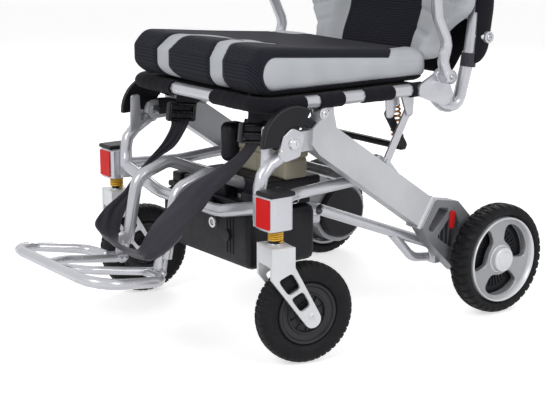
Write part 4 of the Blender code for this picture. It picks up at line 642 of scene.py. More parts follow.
# %% Fabrics
RIB_SPACING, RIB_SLANT = 0.0058, 0.9

def ribs_height(tree):
    """Ribs across the seat: a sine of y + 0.9 z, so that the lines run over a front edge without a break."""
    parts = place_parts(tree)
    sum_of = maths(tree, "MULTIPLY_ADD", parts["Z"], RIB_SLANT, parts["Y"])
    wander = maths(tree, "MULTIPLY", noise(tree, 25.0), 0.0012)
    phase = maths(tree, "MULTIPLY", maths(tree, "ADD", sum_of, wander), 2 * math.pi / RIB_SPACING)
    return maths(tree, "MULTIPLY_ADD", maths(tree, "SINE", phase), 0.5, 0.5)

def weave_height(tree, spacing):
    """A plain weave: crossed sines along three axes, so that any face shows a fine square mesh."""
    parts = place_parts(tree)
    waves = [maths(tree, "SINE", maths(tree, "MULTIPLY", parts[k], 2 * math.pi / spacing)) for k in "XYZ"]
    pair = maths(tree, "MULTIPLY", waves[0], maths(tree, "ADD", waves[1], waves[2]))
    return maths(tree, "MULTIPLY_ADD", pair, 0.25, 0.5)

def fabric(name, colour, light, spacing=0.0016, depth=0.00035, roughness=0.85, sheen=0.06):
    """Woven cloth: a fine weave, a slow change of shade and a soft sheen."""
    made, tree, shader = new_material(name)
    weave = weave_height(tree, spacing)
    shade = maths(tree, "MULTIPLY_ADD", weave, 0.55, maths(tree, "MULTIPLY", noise(tree, 14.0, 4.0), 0.45))
    tree.links.new(mixed(tree, shade, colour, light), shader.inputs["Base Color"])
    settle(shader, Roughness=roughness, Specular_IOR_Level=0.10, Sheen_Weight=sheen, Sheen_Roughness=0.5)
    raised(tree, shader, weave, depth, 0.7)
    return made

def two_tone(name):
    """Seat or back cover: ribbed black mesh where 'trim' is below zero, smooth grey cloth above it.

    The attribute 'trim' is the distance in metres to the sewn line, so the line stays sharp at any
    mesh size.
    """
    made, tree, shader = new_material(name)
    trim = node(tree, "Attribute", attribute_name="trim").outputs["Fac"]
    is_grey = ramp(tree, trim, -0.0004, 0.0004)
    ribs = ribs_height(tree)
    weave = weave_height(tree, 0.0014)
    black = mixed(tree, maths(tree, "MULTIPLY_ADD", weave, 0.35, maths(tree, "MULTIPLY", ribs, 0.65)),
                  (0.0050, 0.0052, 0.0085), (0.030, 0.031, 0.044))
    slow = noise(tree, 9.0, 3.0)
    grey = mixed(tree, maths(tree, "MULTIPLY_ADD", weave, 0.4, maths(tree, "MULTIPLY", slow, 0.6)),
                 (0.52, 0.54, 0.57), (0.68, 0.70, 0.73))
    seam = ramp(tree, maths(tree, "ABSOLUTE", trim), 0.0003, 0.0016)
    body = mixed(tree, is_grey, black, grey)
    tree.links.new(mixed(tree, seam, (0.05, 0.05, 0.06), body), shader.inputs["Base Color"])
    settle(shader, Roughness=0.82, Specular_IOR_Level=0.12, Sheen_Weight=0.05, Sheen_Roughness=0.5)
    height = maths(tree, "ADD", maths(tree, "MULTIPLY", ribs, maths(tree, "SUBTRACT", 1.0, is_grey)),
                   maths(tree, "MULTIPLY", weave, 0.25))
    first = node(tree, "Bump", Strength=0.8, Distance=0.0011)
    tree.links.new(height, first.inputs["Height"])
    raised(tree, shader, seam, 0.0008, 0.8, first.outputs["Normal"])
    return made

SEAT_COVER = two_tone("seat_cover")
BACK_COVER = two_tone("back_cover")
BLACK_CLOTH = fabric("black_cloth", (0.0060, 0.0060, 0.0085), (0.018, 0.018, 0.023), 0.0019)
WEBBING = fabric("webbing", (0.024, 0.023, 0.030), (0.105, 0.103, 0.124), 0.0030, 0.0005, 0.45, 0.10)
print("finishes:", len(bpy.data.materials))

# %% [markdown]
# ## The seat cushion
# The real cushion is a foam block in a sewn cover. Its front is thick and rolls over the front
# rail, its top is a little hollow, and its sides are a smooth grey boxing strip that ends in a half
# circle at the front. Two grey stripes climb the front and meet in a point on top. The form is the
# skin of a rounded box, bent by formulas that also crown it between its seams. A cloth simulation
# could inflate it instead, but the formulas give the same corners each time.

# %% Cushion shape
SEAT = {"half_width": 0.2105, "front": -0.1965, "rear": 0.2255, "bottom": 0.4793,
        "front_top": 0.5710, "rear_top": 0.5390}

def seat_top(y):
    """Height of the cushion's top at a depth: a straight fall from front to rear."""
    share = (y - SEAT["front"]) / (SEAT["rear"] - SEAT["front"])
    return SEAT["front_top"] + (SEAT["rear_top"] - SEAT["front_top"]) * share

def seat_trim(points):
    """Signed distance to the sewn lines of the grey cloth: the largest of stripes, side and wedge."""
    x, y, z = np.abs(points[:, 0]), points[:, 1], points[:, 2]
    back = y - SEAT["front"]
    outer = 0.113 * np.clip(1 - back / 0.215, 0, 1) ** 0.85
    inner = 0.071 * np.clip(1 - back / 0.140, 0, 1) ** 0.85
    stripes = np.minimum(x - inner, outer - x)
    stripes = np.where(back > 0.209, -0.01, stripes)
    stripes = np.minimum(stripes, z - (SEAT["bottom"] + 0.004))
    top, low = seat_top(y) - 0.0145, SEAT["bottom"] + 0.0100
    middle, half = (top + low) / 2, (top - low) / 2
    start = SEAT["front"] + 0.020 + half
    gap = np.hypot(np.minimum(y - start, 0.0), z - middle)
    side = np.minimum(half - gap, x - (SEAT["half_width"] - 0.0215))
    reach = 0.056 * smoothstep(0.120, 0.178, y)
    wedge = np.minimum(x - (SEAT["half_width"] - reach), z - middle)
    wedge = np.where(y > 0.122, wedge, -0.01)
    return np.clip(np.maximum(np.maximum(stripes, side), wedge), -0.02, 0.02)

def seat_form(cells, spans):
    """The cushion's rounded form before its seams are pressed in, as points and quads.

    A rounded box is stretched between the bottom and the sloping top, less a hollow in the middle of
    the top and a roll-off at the front; its sides puff out, and its front lower edge is lifted.
    """
    half = np.array([SEAT["half_width"], (SEAT["rear"] - SEAT["front"]) / 2, 0.045])
    points, quads = cube_skin(half, np.array([0.020, 0.026, 0.026]), cells, spans)
    y = points[:, 1] + (SEAT["rear"] + SEAT["front"]) / 2
    share = np.clip((points[:, 2] + half[2]) / (2 * half[2]), 0, 1)
    hollow = 0.010 * (1 - (points[:, 0] / half[0]) ** 2)
    hollow *= smoothstep(-0.15, 0.02, y) * smoothstep(0.26, 0.10, y)
    roll = 0.020 * smoothstep(0.045, 0.0, y - SEAT["front"]) ** 2
    z = SEAT["bottom"] + (seat_top(y) - SEAT["bottom"] - (hollow + roll) * share) * share
    puff = 0.004 * np.sin(math.pi * share) * (np.abs(points[:, 1]) < half[1] - 0.002)
    lift = 0.014 * smoothstep(0.050, 0.0, y - SEAT["front"]) * (1 - share)
    x = points[:, 0] + np.sign(points[:, 0]) * puff * (np.abs(points[:, 0]) > half[0] - 0.002)
    return np.stack([x, y, z + lift], 1), quads

# %% Cushion, sewn lines and finish
points, quads = seat_form(8, (110, 100, 18))
cushion = upright(mesh_piece("seat_cushion_cover", points, quads))
points = points_of(cushion)
trim = seat_trim(points)
normals = points_of(cushion, "normal")
SEAM_DEPTH = 0.0022
groove = SEAM_DEPTH * np.exp(-(trim / SEAM_DEPTH) ** 2)
puffed = SEAM_DEPTH * smoothstep(0.0, 0.014, np.abs(trim)) * (points[:, 2] > SEAT["bottom"] + 0.006)
wave = 0.0009 * np.sin(points[:, 1] * 95.0 + 2.0 * np.sin(points[:, 0] * 40.0)) * smoothstep(0.0, 0.01, trim)
points = points + normals * (puffed - groove + wave)[:, None]
points[:, 2] = np.maximum(points[:, 2], SEAT["bottom"])
set_points(cushion, points)
attribute(cushion, "trim", trim)
dressed(cushion, "seat", SEAT_COVER, ["seat_cushion"])
print("cushion vertices:", len(points))

# %% [markdown]
# ## The sling under the cushion
# A tight sheet of black cloth carries the cushion. It has a sleeve round each rail, cut away in
# three places on a side, and again in the middle of the front, where bare tube shows. The sheet is
# a grid that sags a little in the middle; each sleeve is a flattened ring carried along the rail.

# %% Rails of the seat
RAIL = {"x": 0.225, "z": 0.4665, "front": -0.182, "rear": 0.194, "radius": 0.0125, "bend": 0.045}
rail_path = rounded([(RAIL["x"], RAIL["rear"], RAIL["z"]), (RAIL["x"], RAIL["front"], RAIL["z"]),
                     (-RAIL["x"], RAIL["front"], RAIL["z"]), (-RAIL["x"], RAIL["rear"], RAIL["z"])],
                    RAIL["bend"], 14)
rail_path = even(rail_path, 900)

def sleeve(name, first, last):
    """Cloth round a stretch of rail: a ring 1.8 mm larger than the tube, drawn in, with creases."""
    path = rail_path[first:last]
    ring = circle(RAIL["radius"] + 0.0018, 22)
    ring = ring * (1.0 + 0.10 * np.maximum(0.0, -ring[:, 1:] / RAIL["radius"]) ** 3)
    n = len(path)
    crease = 1.0 + 0.020 * np.sin(np.linspace(0, n / 9.0, n))
    crease += 0.012 * np.sin(np.linspace(0, n / 3.1, n) + 1.0)
    ends = np.minimum(np.arange(n), np.arange(n)[::-1])
    crease = crease * np.where(ends < 1, 0.965, 1.0)
    return swept(name, path, ring, UP, scale=crease, edge=50)

def rail_index(x, y):
    """The number of the rail point nearest a place."""
    return int(np.argmin(np.hypot(rail_path[:, 0] - x, rail_path[:, 1] - y)))

CUTS = [(0.116, 0.163), (-0.007, 0.042), (-0.096, -0.064)]
stops = [rail_index(RAIL["x"], y) for pair in CUTS for y in pair[::-1]]
front_stop = rail_index(0.068, RAIL["front"])
last = len(rail_path)
spans = [(0, stops[0]), (stops[1], stops[2]), (stops[3], stops[4]), (stops[5], front_stop)]
spans += [(last - b, last - a) for a, b in spans]
sleeves = joined("sling_sleeves", *[sleeve("sleeve", a, b) for a, b in spans])
dressed(sleeves, "seat", BLACK_CLOTH)

SLING = {"half_width": 0.2120, "z": 0.4755, "sag": 0.0025, "pleats": 0.0008}

def sling_sheet():
    """A sheet whose height falls by a bowl: a cosine of x across times a sine of y from front to rear."""
    width, front, rear = SLING["half_width"], RAIL["front"] + 0.014, RAIL["rear"] - 0.002
    x, y = np.meshgrid(np.linspace(-width, width, 61), np.linspace(front, rear, 51), indexing="ij")
    along = np.sin(math.pi * (y - front) / (rear - front))
    bowl = np.cos(math.pi * x / (2 * width)) * along
    pleats = SLING["pleats"] * np.abs(np.sin(x * 60.0)) * along
    z = SLING["z"] - SLING["sag"] * bowl - pleats
    sheet = mesh_piece("sling", np.stack([x, y, z], -1).reshape(-1, 3), grid_quads(*x.shape))
    return thickened(sheet, 0.0018)

sling = dressed(sling_sheet(), "seat", BLACK_CLOTH, ["seat_sling"])
print("sling sleeves:", len(spans))

# %% [markdown]
# ## The backrest
# The back is one padded cover over both halves of the folding back: a ribbed black panel in the
# middle, and a soft grey bolster down each side that stands proud of it. It is made as a single
# skin and bends over the hinge. Each point's depth is a sum of a flat pad, a bolster hump across
# the width and a few slanted creases. Behind it a black cloth shell wraps the tubes.

# %% Back shape
BACK = {"x": 0.225, "bottom": 0.512, "top": 0.884, "half_width": 0.2115}

def back_line(z):
    """The Y station of the back tubes at a height; they lean back as they rise."""
    return 0.323 + (z - 0.530) * 0.1514

def bolster(x):
    """How much of the bolster's hump there is at a place across the back."""
    return smoothstep(0.112, 0.142, np.abs(x)) * (1 - 0.55 * smoothstep(0.185, 0.246, np.abs(x)) ** 2)

PAD_HALF = 0.020
points, quads = cube_skin(np.array([BACK["half_width"], (BACK["top"] - BACK["bottom"]) / 2, PAD_HALF]),
                          np.array([0.016, 0.020, 0.016]), 7, (110, 90, 4))
z = points[:, 1] + (BACK["top"] + BACK["bottom"]) / 2
at_side = smoothstep(0.10, 0.20, np.abs(points[:, 0]))
widen = 1 + 0.155 * smoothstep(0.565, 0.625, z) * at_side
widen *= 1 - 0.17 * smoothstep(0.610, 0.535, z) * at_side
x = points[:, 0] * widen
front_share = (points[:, 2] + PAD_HALF) / (2 * PAD_HALF)
PAD_BACK, PAD_THICK, BOLSTER_HUMP = 0.010, 0.016, 0.034
depth = PAD_BACK + PAD_THICK * front_share + BOLSTER_HUMP * bolster(x) * front_share
depth += 0.004 * front_share * np.sin(math.pi * np.clip((z - BACK["bottom"]) / 0.34, 0, 1))
depth += 0.017 * front_share * smoothstep(0.610, 0.530, z)
lines = np.sin((z + 0.35 * (np.abs(x) - 0.18)) * 118.0 + 1.5 * np.sin(z * 31.0))
CREASE_DEPTH = 0.0036
crease = CREASE_DEPTH * np.clip(lines, 0, 1) ** 3 * smoothstep(0.120, 0.150, np.abs(x)) * front_share
y = back_line(z) - 0.0040 - depth + crease
y = np.where(np.abs(x) > 0.205, np.minimum(y, back_line(z) - 0.0145), y)
back_points = np.stack([x, y, z], 1)
back_pad = upright(mesh_piece("back_pad_cover", back_points, quads))
back_trim = np.clip(np.abs(x) - 0.118 - 0.004 * np.sin(z * 9.0), -0.02, 0.02)
back_trim = np.where(front_share < 0.2, -0.01, back_trim)
attribute(back_pad, "trim", back_trim)
dressed(back_pad, None, BACK_COVER, ["back_pad_lower", "back_pad_upper"])
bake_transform(back_pad, "seat", "back_upper", start=(0, back_line(0.630), 0.630),
         end=(0, back_line(0.712), 0.712))

# %% Black shell behind the back
SHELL_WRAP, SHELL_TOP = 0.0172, 0.892

def back_shell():
    """Cloth behind the tubes: y follows the tubes across the width, and at the sides it wraps round them.

    The lower edge is a curve of the way s across: lowest in the middle, higher beside the post, and high
    over its outer face, so that the post shows. Below the hinge the cloth stands back from the post, as
    a gusset does.
    """
    outer, straight = SHELL_WRAP, BACK["x"]
    side = straight + outer * np.linspace(0.0, math.pi * 0.80, 40)
    half = np.concatenate([np.linspace(0.0, straight, 50)[:-1], side])
    s = np.concatenate([-half[:0:-1], half])
    past = np.clip(np.abs(s) - straight, 0, None) / outer
    x = np.sign(s) * (np.minimum(np.abs(s), straight) + outer * np.sin(past))
    y = outer * np.cos(past) + 0.010 * np.cos(math.pi * np.clip(s / straight, -1, 1) / 2) ** 2
    low = 0.476 + 0.076 * smoothstep(0.150, 0.190, np.abs(s))
    low += -0.044 * smoothstep(0.222, 0.258, np.abs(s)) + 0.100 * smoothstep(0.2585, 0.2640, np.abs(s))
    rise = np.linspace(0, 1, 60)
    z = low[:, None] + (SHELL_TOP - low)[:, None] * rise[None]
    across = np.broadcast_to(x[:, None], z.shape)
    hollow = 0.028 * smoothstep(0.760, 0.600, z) * smoothstep(0.130, 0.215, np.abs(s))[:, None]
    hollow *= (0.5 + 0.5 * np.cos(past))[:, None]
    points = np.stack([across, y[:, None] + back_line(z) + hollow, z], -1).reshape(-1, 3)
    return thickened(mesh_piece("back_shell", points, grid_quads(*z.shape)), 0.0016)

shell = dressed(back_shell(), None, BLACK_CLOTH)
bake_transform(shell, "seat", "back_upper", start=(0, back_line(0.630), 0.630),
         end=(0, back_line(0.712), 0.712))

def post_band(sign):
    """A black strap round a back post below the shell."""
    z = np.linspace(0.500, 0.527, 9)
    path = np.stack([np.full(9, sign * BACK["x"]), back_line(z), z], 1)
    ring = circle(0.0150, 24) * (1, 1.08)
    return swept("post_band", path, ring, ACROSS, scale=1 + 0.02 * np.sin(z * 900.0), edge=50)

dressed(joined("back_post_bands", post_band(1), post_band(-1)), "seat", WEBBING)
print("back pad vertices:", len(back_points))

# %% [markdown]
# ## The calf strap
# A wide piece of webbing hangs from two buckles under the seat and crosses in front of the footrest
# hangers. It is a loft between its two edges: each row below is one station along the strap, and the
# sheet runs straight from edge to edge with a slight dish. It is wide and flat in the middle and
# narrow at the buckles, where sewn webbing carries it up to the seat rails.

# %% Strap
# A row is one station: x, then y and z of the upper edge, then y and z of the lower edge.
STRAP_STATIONS = np.array([
    (0.150, -0.1468, 0.4541, -0.1055, 0.4500), (0.150, -0.1764, 0.4198, -0.1263, 0.4126),
    (0.150, -0.1740, 0.4040, -0.1330, 0.3970), (0.150, -0.1705, 0.3881, -0.1411, 0.3820),
    (0.148, -0.1950, 0.3660, -0.1600, 0.3600), (0.142, -0.2229, 0.3503, -0.1781, 0.3398),
    (0.133, -0.2517, 0.3337, -0.1990, 0.3180), (0.123, -0.2796, 0.3170, -0.2240, 0.2950),
    (0.114, -0.2980, 0.2980, -0.2360, 0.2730), (0.106, -0.3140, 0.2780, -0.2510, 0.2520),
    (0.099, -0.3380, 0.2540, -0.2700, 0.2290), (0.092, -0.3530, 0.2320, -0.2830, 0.2080),
    (0.084, -0.3600, 0.2110, -0.3030, 0.1880), (0.070, -0.3610, 0.1990, -0.3260, 0.1720),
    (0.040, -0.3580, 0.1950, -0.3300, 0.1670), (0.000, -0.3560, 0.1945, -0.3300, 0.1660),
    (-0.045, -0.3560, 0.1960, -0.3260, 0.1670), (-0.085, -0.3540, 0.2010, -0.3150, 0.1700),
    (-0.116, -0.3440, 0.2110, -0.2900, 0.1800), (-0.128, -0.3137, 0.2327, -0.2710, 0.2143),
    (-0.134, -0.2709, 0.2561, -0.2460, 0.2404), (-0.138, -0.2496, 0.2749, -0.2359, 0.2650),
    (-0.142, -0.2257, 0.2957, -0.2045, 0.3003), (-0.145, -0.1952, 0.3202, -0.1740, 0.3156),
    (-0.148, -0.1630, 0.3479, -0.1333, 0.3352), (-0.150, -0.1432, 0.3773, -0.0984, 0.3809),
    (-0.150, -0.1451, 0.4042, -0.0918, 0.4072), (-0.150, -0.1181, 0.4303, -0.0671, 0.4214)])

def strap_band():
    """Rows run between the edge curves A(t) and B(t): P = A + (B - A) * w, pushed out along the normal.

    The push is half the thickness on each face, plus a dish 0.05 * |B - A| * sin(pi w) and two faint
    creases that run along the strap.
    """
    count = 190
    both = curve(STRAP_STATIONS[:, [0, 1, 2, 0, 3, 4]], count)
    first, second = both[:, :3], both[:, 3:]
    across = second - first
    wide = np.linalg.norm(across, axis=1, keepdims=True)
    along = unit(np.gradient((first + second) / 2, axis=0))
    out = unit(np.cross(along, across))
    w = np.linspace(0, 1, 17)
    w = np.r_[w, w[::-1]]
    side = np.r_[np.ones(17), -np.ones(17)]
    thin = np.sqrt(np.clip(1 - np.abs(2 * w - 1) ** 16, 0.02, 1))
    t = np.linspace(0, 1, count)[:, None]
    dish = 0.050 * wide * np.sin(math.pi * w)[None]
    crease = 0.0011 * np.sin(w[None] * 15.0 + 3.0 * np.sin(t * 19.0)) * smoothstep(0.12, 0.2, t)
    push = dish + crease + (side * thin * 0.0013)[None]
    rings = first[:, None] + across[:, None] * w[None, :, None] + out[:, None] * push[..., None]
    return lofted("calf_strap_band", rings, edge=60)

strap = dressed(strap_band(), "root", WEBBING, ["calf_strap"])
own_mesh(strap)
print("strap length:", round(path_length(STRAP_STATIONS[:, :3]), 3))

# %% Buckles, tabs and hanger webbing
BUCKLE_X = 0.150

def ladder_buckle(sign, y, z):
    """A sliding buckle: two side bars and three cross bars, over the strap just below its upper end."""
    centre = np.array([sign * BUCKLE_X, y, z])
    across = unit([0.0, 1.0, -0.12])
    along = unit([0.0, 0.12, 1.0])
    parts = []
    for shift in (-0.030, 0.030):
        ends = [centre + across * shift - along * 0.017, centre + across * shift + along * 0.017]
        parts.append(swept("side", even(ends, 6), soft_box(0.0120, 0.0080, 0.0030), ACROSS, edge=50))
    for level in (-0.016, 0.000, 0.016):
        ends = [centre + along * level - across * 0.030, centre + along * level + across * 0.030]
        parts.append(swept("bar", even(ends, 6), soft_box(0.0110, 0.0070, 0.0030), ACROSS, edge=50))
    return joined("buckle", *parts)

dressed(joined("strap_buckles", ladder_buckle(1, -0.151, 0.406), ladder_buckle(-1, -0.118, 0.402)),
        "root", GLOSS_BLACK)

def hanger_web(sign, y, z):
    """Webbing from the buckle up to the sling: a strip that widens towards the seat."""
    knots = [(sign * BUCKLE_X, y, z), (sign * (BUCKLE_X + 0.001), y + 0.006, z + 0.016),
             (sign * (BUCKLE_X + 0.002), y + 0.018, 0.4760)]
    return swept("web", curve(knots, 18), soft_box(0.0030, 0.050, 0.0014, 3), ACROSS,
                 scale=1 + 0.5 * smoothstep(0.0, 1.0, np.linspace(0, 1, 18)), edge=60)

def side_tab(sign, y, z):
    """A short padded tab from the buckle out to the round cover."""
    path = curve([(sign * (BUCKLE_X + 0.002), y + 0.020, z + 0.004), (sign * 0.195, y + 0.022, z + 0.003),
                  (sign * 0.232, y + 0.020, z - 0.002)], 16)
    return swept("tab", path, soft_box(0.0080, 0.034, 0.0036, 4), (0.0, 1.0, 0.0), edge=50)

dressed(joined("strap_loops", hanger_web(1, -0.145, 0.418), hanger_web(-1, -0.108, 0.414)),
        "seat", WEBBING)
dressed(joined("strap_tabs", side_tab(1, -0.151, 0.406), side_tab(-1, -0.140, 0.406)),
        "root", BLACK_CLOTH)
print("strap hardware done")

# %% [markdown]
# ## Tyres
# Each tyre is a closed ring, wrapped by two angles: one round the wheel and one round its section.
# The section is a squarish oval. The tread is a pattern of grooves taken off the radius, a function
# of the two angles, so every block is real geometry.

# %% Tyre surface
def tyre(name, centre, axle, outer, inner, width, blocks, depth, rings=(600, 60)):
    """Torus with section r = mid + a |cos p|^0.72, x = b |sin p|^0.78, less the grooves.

    The grooves are two zigzag lines near the middle and slanted notches over both shoulders, which
    are offset by half a block from one another. Two fine rings are pressed into each side wall.
    """
    turn = np.linspace(0, 2 * math.pi, rings[0], endpoint=False)[:, None]
    section = np.linspace(0, 2 * math.pi, rings[1], endpoint=False)[None]
    mid, a, b = (outer + inner) / 2, (outer - inner) / 2, width / 2
    cos, sin = np.cos(section), np.sin(section)
    radius = mid + a * np.sign(cos) * np.abs(cos) ** 0.72
    offset = b * np.sign(sin) * np.abs(sin) ** 0.78
    side = offset / b
    on_tread = smoothstep(-0.22, -0.05, cos)
    saw = 2 / math.pi * np.arcsin(np.sin(turn * blocks))
    zigzag = smoothstep(0.075, 0.045, np.abs(np.abs(side) - 0.16 - 0.08 * saw))
    cross = smoothstep(0.55, 0.80, np.cos(turn * blocks + 1.1 * np.abs(side) + math.pi * (side > 0)))
    shoulder = smoothstep(0.22, 0.30, np.abs(side))
    groove = on_tread * np.maximum(cross * shoulder, zigzag)
    height = (radius - inner) / (outer - inner)
    wall = 0.0010 * np.exp(-((height - 0.42) / 0.035) ** 2)
    wall = wall + 0.0008 * np.exp(-((height - 0.20) / 0.03) ** 2)
    radius = radius - depth * groove
    offset = offset - np.sign(side) * wall * smoothstep(0.2, -0.1, cos) * smoothstep(0.3, 0.6, np.abs(side))
    axle, up = unit(axle), np.array(UP)
    first = unit(up - axle * (up @ axle))
    second = np.cross(axle, first)
    spoke = np.cos(turn)[..., None] * first + np.sin(turn)[..., None] * second
    points = np.asarray(centre) + radius[..., None] * spoke + offset[..., None] * axle
    return upright(mesh_piece(name, points.reshape(-1, 3), grid_quads(*rings, True, True)))

# %% Places of the wheels, and their tyres
SWIVEL = math.radians(-11.0)
CASTER_AXLE = np.array([math.cos(SWIVEL), math.sin(SWIVEL), 0.0])
CASTER_ALONG = np.array([-math.sin(SWIVEL), math.cos(SWIVEL), 0.0])
CASTER_X, CASTER_Y = 0.280, -0.1985
CASTER_TRAIL, CASTER_RADIUS = 0.057, 0.095
REAR_X, REAR_RADIUS = 0.284, 0.1125
REAR_AXLE = np.array([0.359, REAR_RADIUS])

def caster_stem(sign):
    """Where a caster's swivel axis meets the floor."""
    return np.array([sign * CASTER_X, CASTER_Y, 0.0])

def caster_hub(sign):
    """The middle of a caster's wheel, which trails behind the swivel axis."""
    return caster_stem(sign) + CASTER_TRAIL * CASTER_ALONG + (0, 0, CASTER_RADIUS)

for name, sign in SIDES:
    rear = tyre("rear_tread_" + name, (sign * REAR_X, *REAR_AXLE), ACROSS, REAR_RADIUS, inner=0.0874,
                width=0.048, blocks=38, depth=0.0034)
    dressed(rear, "rear_wheel_" + name, RUBBER, ["rear_tyre_" + name])
    front = tyre("caster_tread_" + name, caster_hub(sign), CASTER_AXLE, CASTER_RADIUS, inner=0.0560,
                 width=0.044, blocks=46, depth=0.0020)
    dressed(front, "caster_wheel_" + name, RUBBER, ["caster_tyre_" + name])
print("tyres: 4")

# %% [markdown]
# ## Coil springs
# A coil is a tube along a helix whose ends run nearly flat, so that the end turns close up.

# %% Springs
def coil(name, foot, head, radius, wire, turns, dead=0.75):
    """Helix: angle grows evenly; over the dead turns at each end, height rises by one wire's width."""
    foot, head = np.asarray(foot, float), np.asarray(head, float)
    axis = unit(head - foot)
    helper = np.array(ACROSS)
    first = unit(helper - axis * (helper @ axis))
    second = np.cross(axis, first)
    end_rise = 2.1 * wire
    t = np.linspace(0, turns, int(turns * 28))
    rise = np.clip((t - dead) / (turns - 2 * dead), 0, 1)
    lead = end_rise * (np.minimum(t, dead) / dead + np.clip(t - turns + dead, 0, dead) / dead)
    height = lead + rise * (np.linalg.norm(head - foot) - 2 * end_rise)
    angle = 2 * math.pi * t
    spoke = np.cos(angle)[:, None] * first + np.sin(angle)[:, None] * second
    path = foot + height[:, None] * axis + radius * spoke
    return swept(name, path, circle(wire, 10), axis, edge=60)

SHOCK_HEAD, SHOCK_FOOT = (0.178, 0.1670, 0.4330), (0.178, 0.1810, 0.3520)
for name, sign in SIDES:
    low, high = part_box("caster_spring_" + name)
    stem = caster_stem(sign)
    spring = coil("suspension_coil_" + name, stem + (0, 0, low[2] + 0.0016), stem + (0, 0, high[2] - 0.0016),
                  radius=0.0126, wire=0.0017, turns=5.0, dead=0.6)
    dressed(spring, "root", YELLOW, ["caster_spring_" + name])
    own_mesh(spring)
    head, foot = (np.array([sign * x, y, z]) for x, y, z in (SHOCK_HEAD, SHOCK_FOOT))
    axis = unit(head - foot)
    spring = coil("shock_coil_" + name, foot + axis * 0.0080, head - axis * 0.0005, radius=0.0108,
                  wire=0.0021, turns=8.5, dead=0.7)
    dressed(spring, "seat", COPPER, ["shock_spring_" + name])
    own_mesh(spring)
print("springs: 4")

# %% [markdown]
# ## Wheel rims
# A rear rim is a cast disc with three windows inside a turned barrel. The disc is three equal cells
# of 120 degrees. Each cell is a grid between the window's outline and the cell's border, so the
# windows are real holes with a chamfered edge, and the dish is one function of the radius. Behind it
# sit the motor's drum and its cooling fins. A caster rim is turned, with thin moulded ribs.

# %% Rear rims
WINDOW_TURN = math.radians(35.0)
DISC_MIDDLE, DISC_REACH = 0.055, 0.0275

def rear_disc(name, sign):
    """Polar cells: x = dish(r) less a chamfer near the window; angle = middle + 60 degrees * u."""
    parts = []
    for k in range(3):
        middle = WINDOW_TURN + k * 2 * math.pi / 3

        def mapping(u, v, side, near, middle=middle):
            angle = middle + u * math.pi / 3
            r = DISC_MIDDLE + DISC_REACH * v
            dish = 0.0105 + 0.0030 * ((r - 0.050) / 0.030) ** 2
            chamfer = 0.0016 * np.clip(1 - near / 0.16, 0, 1) ** 1.5
            x = dish - chamfer if side > 0 else np.full_like(r, -0.0010)
            return np.stack([sign * (REAR_X + x), REAR_AXLE[0] + r * np.cos(angle),
                             REAR_AXLE[1] + r * np.sin(angle)], -1)
        parts.append(pierced(mapping, (0.67, 0.75), (0, 0, 1, 1), 4.0, 96))
    return welded(name, parts, 50)

BARREL = [(0.0876, 0.0200), (0.0872, 0.0226), (0.0862, 0.0238), (0.0846, 0.0240), (0.0832, 0.0228),
          (0.0818, 0.0180), (0.0800, 0.0138), (0.0796, 0.0080), (0.0796, -0.0180), (0.0820, -0.0230),
          (0.0850, -0.0238), (0.0876, -0.0215)]
CAP = [(0.0, 0.0262), (0.0090, 0.0261), (0.0150, 0.0254), (0.0160, 0.0244), (0.0172, 0.0244),
       (0.0180, 0.0252), (0.0222, 0.0246), (0.0246, 0.0232), (0.0256, 0.0205), (0.0262, 0.0130),
       (0.0290, 0.0118), (0.0300, 0.0085), (0.0300, 0.0), (0.0, 0.0)]
RIM_SCREW = [(0.0, -0.001), (0.0021, -0.001), (0.0021, 0.0006), (0.0016, 0.0012), (0.0, 0.0012)]
DRUM = [(0.0, -0.030), (0.070, -0.030), (0.076, -0.027), (0.0775, -0.022), (0.0775, -0.0075),
        (0.074, -0.0055), (0.062, -0.0055), (0.060, -0.0075), (0.0, -0.0075)]

def fins(centre, axis, inner, outer, low, high, count, thick):
    """Thin radial ribs on a disc: one small box for each angle, all in one array."""
    axis, up = unit(axis), np.array(UP)
    second = np.cross(axis, up)
    angle = 2 * math.pi * np.arange(count) / count
    ray = np.cos(angle)[:, None] * up + np.sin(angle)[:, None] * second
    across = np.cross(axis, ray)
    corners = []
    for r in (inner, outer):
        for side in (-1, 1):
            for level in (low, high):
                corners.append(np.asarray(centre) + ray * r + across * side * thick / 2 + axis * level)
    points = np.stack(corners, 1).reshape(-1, 3)
    quads = np.array([(0, 1, 3, 2), (4, 6, 7, 5), (0, 4, 5, 1), (2, 3, 7, 6), (0, 2, 6, 4), (1, 5, 7, 3)])
    quads = (quads[None] + 8 * np.arange(count)[:, None, None]).reshape(-1, 4)
    return upright(mesh_piece("fins", points, quads, smooth=False))

for name, sign in SIDES:
    hub, axis = (sign * REAR_X, *REAR_AXLE), (sign, 0, 0)
    barrel = turned("barrel", BARREL, hub, axis, 128, closed=True)
    cap = turned("cap", CAP, hub, axis, 64)
    heads = []
    for turn in np.radians(90 + 72 * np.arange(5)):
        at = np.add(hub, (sign * 0.0248, 0.0198 * math.cos(turn), 0.0198 * math.sin(turn)))
        heads.append(turned("head", RIM_SCREW, at, axis, 14))
    body, slot = "rear_wheel_" + name, SLOTS["rear_rim_" + name]
    dressed(joined("rear_lip_" + name, barrel, cap, *heads), body, FORGED)
    dressed(rear_disc("rear_rim_cast_" + name, sign), body, BRUSHED, ["rear_rim_" + name])
    drum = turned("drum", DRUM, hub, axis, 72)
    ribs = fins(hub, axis, inner=0.030, outer=0.062, low=-0.012, high=-0.0055, count=40, thick=0.0016)
    dressed(joined("hub_drum_" + name, drum, ribs), body, BLACK)

